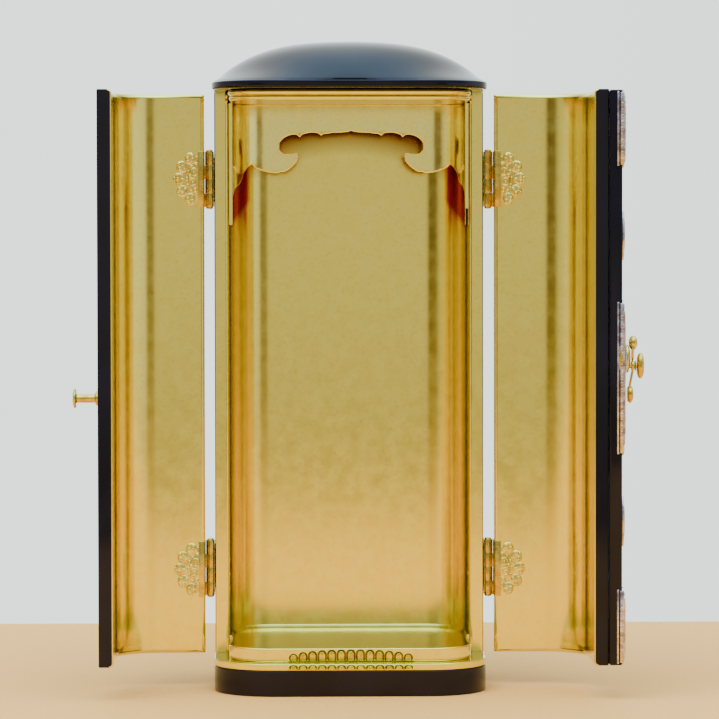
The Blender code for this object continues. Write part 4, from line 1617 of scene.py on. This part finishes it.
    def build(self, palette: Palette) -> None:
        """Copy one hinge to its four places.

        Args:
            palette: Finishes of the shrine.
        """
        case_leaf, door_leaf = self.case_leaf(palette), self.door_leaf(palette)
        pin = dress(self.pin(), palette.brass)
        for piece in (case_leaf, door_leaf, pin):
            smooth(piece, 50)
        for side in Side:
            mirror = Matrix.Scale(-side.value, 4, (1, 0, 0))
            for level_name, level in self.levels:
                place = Matrix.Translation((side.value * LAYOUT.axis_x, LAYOUT.axis_y, level)) @ mirror
                name = f"{side.name.lower()}_{level_name}"
                made = duplicate(case_leaf, f"{name}_hinge_case_leaf", place)
                stand_in(made, "case", Slot.BRASS, f"{name}_case_leaf")
                made = duplicate(pin, f"{name}_hinge_pin_buttons", place)
                stand_in(made, "case", Slot.BRASS, f"{name}_hinge_pin")
                made = LAYOUT.swing(duplicate(door_leaf, f"{name}_hinge_door_leaf", place), side)
                stand_in(made, side.body, Slot.BRASS, f"{name}_door_leaf")
        discard(case_leaf, door_leaf, pin)


@dataclass(frozen=True)
class CoverStrip:
    """Lacquered strip over the joint of the doors, with its caps and leaf ornaments.

    Args:
        middle_x: Middle of the strip, doors shut.
        width: Width of the strip.
        back: Its back.
        front: Its front.
        low: Its foot.
        high: Its head.
        cap_front: Front face of the caps.
        tip: Length of a cap's cusped point.
        bead_pitch: Distance between the beads along a cap's edge.
        end_cap: Height of the lower and the upper cap.
        middle_cap: Height of the middle cap.
        middle: Height at which the middle cap stands.
        leaf_reach: Distance of the split leaves from there.
        leaf_half: Half height of a split leaf.
    """

    middle_x: float = 0.95 * MM
    width: float = 6.9 * MM
    back: float = -41.3 * MM
    front: float = -45.5 * MM
    low: float = 12.8 * MM
    high: float = 220.1 * MM
    cap_front: float = -46.4 * MM
    tip: float = 4 * MM
    bead_pitch: float = 2.2 * MM
    end_cap: float = 28 * MM
    middle_cap: float = 56 * MM
    middle: float = 116.45 * MM
    leaf_reach: float = 51.6 * MM
    leaf_half: float = 9.2 * MM

    def outline(self, width: float, height: float) -> list[Point]:
        """Outline of a cap, with a cusped point at each end.

        Args:
            width: Width of the cap.
            height: Height of the cap.

        Returns:
            The outline.
        """
        half, tip = width / 2, self.tip
        straight = height / 2 - tip
        corner = [(half, straight)]
        corner += sweep(corner[-1], (half * 0.70, straight + tip * 0.34), 0.16 * half, 5)
        corner += sweep(corner[-1], (half * 0.36, straight + tip * 0.68), -0.10 * half, 5)
        corner += sweep(corner[-1], (0.0, height / 2), 0.10 * half, 5)
        upper = corner + [(-x, z) for x, z in reversed(corner[:-1])]
        return upper + [(-x, -z) for x, z in upper]

    def cap(self, name: str, node: str, middle: float, height: float, palette: Palette) -> None:
        """Build a cap of chased sheet: front, raised panel, rim bead and two flanges.

        Args:
            name: Name of the piece.
            node: CAD node that it stands for.
            middle: Height of its middle.
            height: Its height.
            palette: Finishes of the shrine.
        """
        outer = self.width / 2 + 0.65 * MM
        sheet_back = self.front - 0.1 * MM
        parts = [plate(name, self.outline(2 * outer, height), sheet_back, self.cap_front, 0.15 * MM)]
        straight = height / 2 - self.tip
        for side in (-1, 1):
            edges = sorted((side * (outer - 0.45 * MM), side * (outer - 0.15 * MM)))
            low = (edges[0], self.cap_front + 0.25 * MM, -straight - 3 * MM)
            high = (edges[1], self.front + 0.75 * MM, straight + 3 * MM)
            flange = block("flange", low, high)
            round_edges(flange, lambda a, b: True, 0.1 * MM, 2)
            parts.append(flange)
            foot = (side * (outer - 0.4 * MM), self.front + 1.55 * MM, -height / 2 + 0.6 * MM)
            parts.append(rod("rim_bead", foot, 0.4 * MM, height - 1.2 * MM, 0.2 * MM))
        panel = self.outline(self.width * 0.62, height * 0.86)
        parts.append(plate("panel", panel, self.cap_front + 0.2 * MM, self.cap_front - 0.5 * MM, 0.2 * MM))
        count = int(2 * straight / self.bead_pitch)
        for number in range(count):
            level = (number - (count - 1) / 2) * self.bead_pitch
            for side in (-1, 1):
                bead = (side * 2.95 * MM, self.cap_front, level)
                parts.append(pebble(bead, (0.42 * MM, 0.26 * MM, 0.85 * MM), 6))
                curl = (side * (outer - 0.2 * MM), self.cap_front + 0.95 * MM, level)
                parts.append(pebble(curl, (0.16 * MM, 0.55 * MM, 0.7 * MM), 6))
        self.mount(merge(name, parts), node, middle, palette)

    def mount(self, piece: Solid, node: str, middle: float, palette: Palette) -> None:
        """Put an ornament on the strip at a height, dress it and swing it with the door.

        Args:
            piece: Piece to work on.
            node: CAD node that it stands for.
            middle: Height of its middle.
            palette: Finishes of the shrine.
        """
        smooth(piece, 50)
        piece.data.transform(Matrix.Translation((self.middle_x, 0, middle)))
        dress(piece, palette.rose)
        stand_in(LAYOUT.swing(piece, Side.RIGHT), Side.RIGHT.body, Slot.BRASS, node)

    def leaf(self, name: str, node: str, middle: float, palette: Palette) -> None:
        """Build a split pointed leaf with a rib down each half.

        Args:
            name: Name of the piece.
            node: CAD node that it stands for.
            middle: Height of its middle.
            palette: Finishes of the shrine.
        """
        outline = [(2.3 * MM * math.sin(math.pi * step / 24) ** 0.8, self.leaf_half * (1 - step / 12))
                   for step in range(25)]
        outline += [(-x, z) for x, z in reversed(outline[1:-1])]
        parts = [plate(name, outline, self.front - 0.1 * MM, self.cap_front, 0.2 * MM)]
        for side in (-1, 1):
            rib_size = (0.6 * MM, 0.32 * MM, 5.6 * MM)
            parts.append(pebble((side * 1.15 * MM, self.cap_front, 0), rib_size, 10))
        self.mount(merge(name, parts), node, middle, palette)

    def build(self, palette: Palette) -> None:
        """Build the strip and everything on it.

        Args:
            palette: Finishes of the shrine.
        """
        half = self.width / 2
        low = (self.middle_x - half, self.front, self.low)
        high = (self.middle_x + half, self.back + TUCK, self.high)
        strip = block("lacquered_cover_strip", low, high)
        round_edges(strip, lambda a, b: True, 0.5 * MM, 4)
        dress(smooth(strip, 40), palette.black)
        LAYOUT.swing(strip, Side.RIGHT)
        stand_in(strip, Side.RIGHT.body, Slot.LACQUER, "cover_strip")
        end = self.end_cap
        self.cap("lower_cap", "cap_lower", self.low + end / 2, end, palette)
        self.cap("middle_cap", "cap_middle", self.middle, self.middle_cap, palette)
        self.cap("upper_cap", "cap_upper", self.high - end / 2, end, palette)
        self.leaf("lower_split_leaf", "leaf_lower", self.middle - self.leaf_reach, palette)
        self.leaf("upper_split_leaf", "leaf_upper", self.middle + self.leaf_reach, palette)


@dataclass(frozen=True)
class Latch:
    """Latch post and hasp of the right door, and the headed stud of the left one.

    Args:
        height: Height of the latch.
        foot: Face that it stands on, doors shut.
        middle_x: Middle of the cover strip, doors shut.
        lean: Distance that the hasp's foot leans in towards the strip.
        boss_rise: Height of the boss's middle above the pivot.
        back: Back of the hasp.
        front: Front of the hasp.
        button_drop: Distance of the hasp's button below the pivot.
        stud_place: Middle of the stud's plate in X and Z, doors shut.
    """

    height: float = 120.8 * MM
    foot: float = -47.2 * MM
    middle_x: float = 0.95 * MM
    lean: float = 1.5 * MM
    boss_rise: float = 2.6 * MM
    back: float = -1.9 * MM
    front: float = -2.7 * MM
    button_drop: float = 10.2 * MM
    stud_place: Point = (-6.0 * MM, 109.3 * MM)

    def rounded(self, radius: float, low: float, high: float, steps: int = 10) -> list[Point]:
        """Profile of a pebble-shaped button between two distances out.

        Args:
            radius: Radius of the button.
            low: Nearer distance out.
            high: Farther distance out.
            steps: Number of its parts.

        Returns:
            The profile.
        """
        middle = (low + high) / 2
        half = (high - low) / 2
        return [(middle - half * math.cos(math.pi * s / steps), radius * math.sin(math.pi * s / steps) ** 0.6)
                for s in range(steps + 1)]

    def place(self, piece: Solid, height: float) -> Solid:
        """Put a piece of the latch on the strip and swing it with the door."""
        piece.data.transform(Matrix.Translation((self.middle_x, self.foot, height)))
        return LAYOUT.swing(piece, Side.RIGHT)

    def post(self) -> Solid:
        """Model the oval domed boss, the neck, the collar and the oval head.

        Returns:
            The post.
        """
        dome = [(0.0, 0.0), (0.0, 4.0 * MM), (0.25 * MM, 4.0 * MM)]
        dome += [(0.25 * MM + 1.3 * MM * math.sin(a), 4.0 * MM * math.cos(a))
                 for a in (math.pi / 2 * s / 10 for s in range(1, 11))]
        boss = turned("boss", dome)
        boss.data.transform(Matrix.Translation((0, 0, self.boss_rise)) @ Matrix.Scale(1.3, 4, (0, 0, 1)))
        neck = turned("neck", [(0.8 * MM, 0), (0.8 * MM, 0.9 * MM), (5.6 * MM, 0.9 * MM), (5.6 * MM, 0)], 24)
        collar = turned("collar", self.rounded(2.0 * MM, 2.95 * MM, 3.6 * MM))
        head = turned("head", self.rounded(2.5 * MM, 3.8 * MM, 6.5 * MM, 16))
        head.data.transform(Matrix.Scale(1.85, 4, (0, 0, 1)))
        side_boss = pebble((-3.35 * MM, 1.9 * MM, 2.9 * MM), (0.7 * MM, 1.5 * MM, 4.9 * MM), 16)
        return smooth(merge("latch_post_and_head", [boss, neck, collar, head, side_boss]), 50)

    def hasp(self) -> Solid:
        """Model the hasp about its pivot: eye, strap, leaf and round button.

        Returns:
            The hasp.
        """
        back, front, drop = self.back, self.front, self.button_drop
        eye = ring((0, (back + front) / 2, 0), 1.6 * MM, 0.42 * MM)
        strap = block("strap", (-1.1 * MM, front, -drop), (1.1 * MM, back, -1.6 * MM))
        round_edges(strap, lambda a, b: True, 0.25 * MM, 3)
        for vertex in strap.data.vertices:
            share = min(1.0, max(0.0, (-vertex.co.z - 2.0 * MM) / (6.0 * MM)))
            vertex.co.y += self.lean * (3 - 2 * share) * share ** 2
        lobe = [(2.3 * MM * math.sin(math.pi * step / 16) ** 0.7, (10.4 - 8.6 * step / 16) * MM)
                for step in range(17)]
        lobe += [(-x, z) for x, z in reversed(lobe[1:-1])]
        leaf = plate("leaf", lobe, back, front, 0.25 * MM)
        rib = pebble((0, -2.5 * MM, 8.3 * MM), (2.2 * MM, 1.6 * MM, 2.6 * MM), 16)
        dome = [(-front + 1.4 * MM * math.sin(a), 3.3 * MM * math.cos(a) ** 0.7)
                for a in (math.pi / 2 * step / 12 for step in range(13))]
        button = turned("button", [(-back, 0.0), (-back, 2.6 * MM)] + dome)
        button.data.transform(Matrix.Translation((0, self.lean, -drop)))
        return smooth(merge("hanging_hasp", [eye, strap, leaf, rib, button]), 50)

    def stud(self) -> Solid:
        """Model the headed stud on its round plate.

        Returns:
            The stud.
        """
        profile = [
            (0.05, 0.0), (0.05, 2.6), (0.6, 2.6), (0.9, 2.2), (1.1, 1.75), (1.3, 1.55), (7.6, 1.55),
            (7.8, 1.7), (7.9, 3.3), (8.1, 3.5), (8.55, 3.5), (8.8, 3.3), (9.05, 2.4), (9.2, 1.2), (9.2, 0),
        ]
        piece = turned("headed_stud", [(reach * MM, radius * MM) for reach, radius in profile])
        x, height = self.stud_place
        piece.data.transform(Matrix.Translation((x, -LAYOUT.half_depth, height)))
        return LAYOUT.swing(smooth(piece, 35), Side.LEFT)

    def build(self, palette: Palette) -> None:
        """Build and dress the latch and the stud.

        Args:
            palette: Finishes of the shrine.
        """
        post = dress(self.place(self.post(), self.height), palette.brass)
        stand_in(post, Side.RIGHT.body, Slot.BRASS, "latch_post")
        hasp = dress(self.place(self.hasp(), self.height), palette.brass)
        stand_in(hasp, "hasp", Slot.BRASS, "hasp")
        stand_in(dress(self.stud(), palette.brass), Side.LEFT.body, Slot.BRASS, "latch_stud")


@dataclass(frozen=True)
class Zone:
    """Part of the room that has a light of its own.

    Args:
        levels: Height of the view ray at which it begins and at which it is full.
        facing: How far the ray points to the camera's side where it begins and where it is full.
        light: Its light.
    """

    levels: Point
    facing: Point
    light: tuple[float, float, float]


@dataclass(frozen=True)
class Studio:
    """Plain table, pale room, soft lights and the camera.

    Args:
        table_end: Place of the table's far edge.
        camera_place: Place of the camera.
        pitch: Downward tilt of the camera in degrees.
        yaw: Turn of the camera to the right in degrees.
        roll: Roll of the camera in degrees.
        lens: Focal length for a sensor 36 mm wide.
        bands: Light of the room by its bearing in degrees, from the camera to the right.
        zones: Dim upper part of the camera's side, the ceiling, and the part below the table.
        strength: Strongest light of the room, by which every light is divided.
    """

    table_end: float = 0.21
    camera_place: tuple[float, float, float] = (-0.01943, -1.2916, 0.1622)
    pitch: float = -1.798
    yaw: float = 1.037
    roll: float = -0.088
    lens: float = 172.53
    bands: tuple[tuple[float, float, float, float], ...] = (
        (-180, 1.85, 2.02, 2.00),
        (-110, 0.80, 0.76, 0.70),
        (-70, 0.95, 0.92, 0.88),
        (-50, 0.70, 0.68, 0.66),
        (-38, 0.16, 0.12, 0.09),
        (-22, 0.10, 0.07, 0.05),
        (-13, 0.78, 0.75, 0.72),
        (0, 0.84, 0.80, 0.77),
        (14, 0.81, 0.77, 0.75),
        (22, 0.26, 0.23, 0.20),
        (34, 0.22, 0.20, 0.18),
        (42, 1.00, 1.02, 1.25),
        (62, 1.10, 1.15, 1.50),
        (100, 1.05, 1.10, 1.35),
        (130, 0.70, 0.72, 0.74),
        (180, 1.85, 2.02, 2.00),
    )
    zones: tuple[Zone, ...] = (
        Zone((0.055, 0.12), (0.0, 0.3), (0.44, 0.46, 0.52)),
        Zone((0.40, 0.80), (-0.75, 0.0), (2.70, 4.10, 5.40)),
        Zone((-0.025, -0.07), (0.0, 0.3), (0.52, 0.45, 0.26)),
    )
    strength: float = 6.0

    def surface(self, name: str, colour: str, size: float) -> Finish:
        """Build a plain matt material with a faint grain, such as table cloth or board.

        Args:
            name: Name of the material.
            colour: Its colour.
            size: Size of the grain.

        Returns:
            The material.
        """
        made = bpy.data.materials.new(name)
        recipe = Recipe(made)
        add = recipe.add
        grain = add("ShaderNodeTexNoise", recipe.spread(size, Detail=4))[0]
        pale = add("ShaderNodeMapRange", {0: grain, 1: 0.3, 2: 0.7, 3: 0.0, 4: 0.06})[0]
        tones = {0: pale, 6: linear(colour), 7: linear("FFFFFF")}
        tone = add("ShaderNodeMix", tones, data_type="RGBA")[2]
        rough = add("ShaderNodeMapRange", {0: grain, 1: 0.3, 2: 0.7, 3: 0.7, 4: 0.8})[0]
        relief = add("ShaderNodeBump", {"Height": grain, "Strength": 1.0, "Distance": 0.05 * MM})[0]
        recipe.feed(recipe.shader, {"IOR": 1.2, "Base Color": tone, "Roughness": rough, "Normal": relief})
        return made

    def lamp(self, name: str, place: Vector, size: Point, watts: float, colour: str = "FFFFFF") -> None:
        """Hang a soft rectangular light that looks at the shrine.

        Args:
            name: Name of the light.
            place: Place of the light.
            size: Its width and height.
            watts: Its power.
            colour: Its colour.
        """
        light = bpy.data.lights.new(name, "AREA")
        light.shape = "RECTANGLE"
        light.size, light.size_y = size
        light.energy = watts
        light.color = linear(colour)[:3]
        lamp = bpy.data.objects.new(name, light)
        bpy.context.collection.objects.link(lamp)
        lamp.location = place
        lamp.rotation_euler = (Vector((0, 0, 0.12)) - Vector(place)).to_track_quat("-Z", "Y").to_euler()
        lamp.visible_glossy = False

    def share(self, light: Sequence[float]) -> tuple[float, ...]:
        """Colour of a light as its share of the room's strongest."""
        return (*(value / self.strength for value in light), 1.0)

    def room(self) -> None:
        """Surround the shrine with a soft room: window at the right, dim corners, pale backdrop."""
        world = bpy.data.worlds.new("soft_room")
        bpy.context.scene.world = world
        recipe = Recipe(world, "Background", "Generated")
        add = recipe.add
        ways = add("ShaderNodeSeparateXYZ", {0: recipe.coords})
        front = add("ShaderNodeMath", {0: ways["Y"], 1: -1.0}, operation="MULTIPLY")[0]
        turn = add("ShaderNodeMath", {0: ways["X"], 1: front}, operation="ARCTAN2")[0]
        bearing = add("ShaderNodeMapRange", {0: turn, 1: -math.pi, 2: math.pi})[0]
        light = add("ShaderNodeValToRGB", {0: bearing})[0]
        stops = light.node.color_ramp.elements
        for number, (degrees, *colour) in enumerate(self.bands):
            place = (degrees / 180 + 1) / 2
            # The ramp comes with its first two stops
            stop = stops[number] if number < 2 else stops.new(place)
            stop.position = place
            stop.color = self.share(colour)
        for zone in self.zones:
            level = add("ShaderNodeMapRange", {0: ways["Z"], 1: zone.levels[0], 2: zone.levels[1]})[0]
            facing = add("ShaderNodeMapRange", {0: front, 1: zone.facing[0], 2: zone.facing[1]})[0]
            inside = add("ShaderNodeMath", {0: level, 1: facing}, operation="MULTIPLY")[0]
            tones = {0: inside, 6: light, 7: self.share(zone.light)}
            light = add("ShaderNodeMix", tones, data_type="RGBA")[2]
        recipe.feed(recipe.shader, {"Strength": self.strength, "Color": light})

    def build(self) -> None:
        """Build the studio and set the scene's camera."""
        table = block("table_top", (-2.5, -0.72, -0.02), (2.5, self.table_end, 0.0))
        dress(table, self.surface("pale_table", "DF9C44", 2 * MM))

        self.room()
        self.lamp("ceiling_light", Vector((-0.3, -0.9, 1.9)), (1.8, 1.2), 46, "F1F5FF")

        data = bpy.data.cameras.new("camera")
        data.sensor_width = 36
        data.lens = self.lens
        data.dof.use_dof = False
        camera = bpy.data.objects.new("camera", data)
        bpy.context.collection.objects.link(camera)
        turn = Matrix.Rotation(math.radians(-self.yaw), 4, "Z")
        tilt = Matrix.Rotation(math.radians(90 + self.pitch), 4, "X")
        roll = Matrix.Rotation(math.radians(self.roll), 4, "Z")
        camera.matrix_world = Matrix.Translation(self.camera_place) @ turn @ tilt @ roll
        bpy.context.scene.camera = camera
        log.info("studio: table, room, lights and camera")


def main() -> None:
    """Build the shrine piece by piece, then the studio."""
    logging.basicConfig(level=logging.INFO, format="%(message)s")
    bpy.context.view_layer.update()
    palette = Palette.mixed()
    Boards().build(palette)
    Carcass().build(palette)
    Roof().build(palette)
    Valance().build(palette)
    for side in Side:
        DoorPanel(side).build(palette)
    HingeSet().build(palette)
    CoverStrip().build(palette)
    Latch().build(palette)
    Studio().build()


if __name__ == "__main__":
    main()
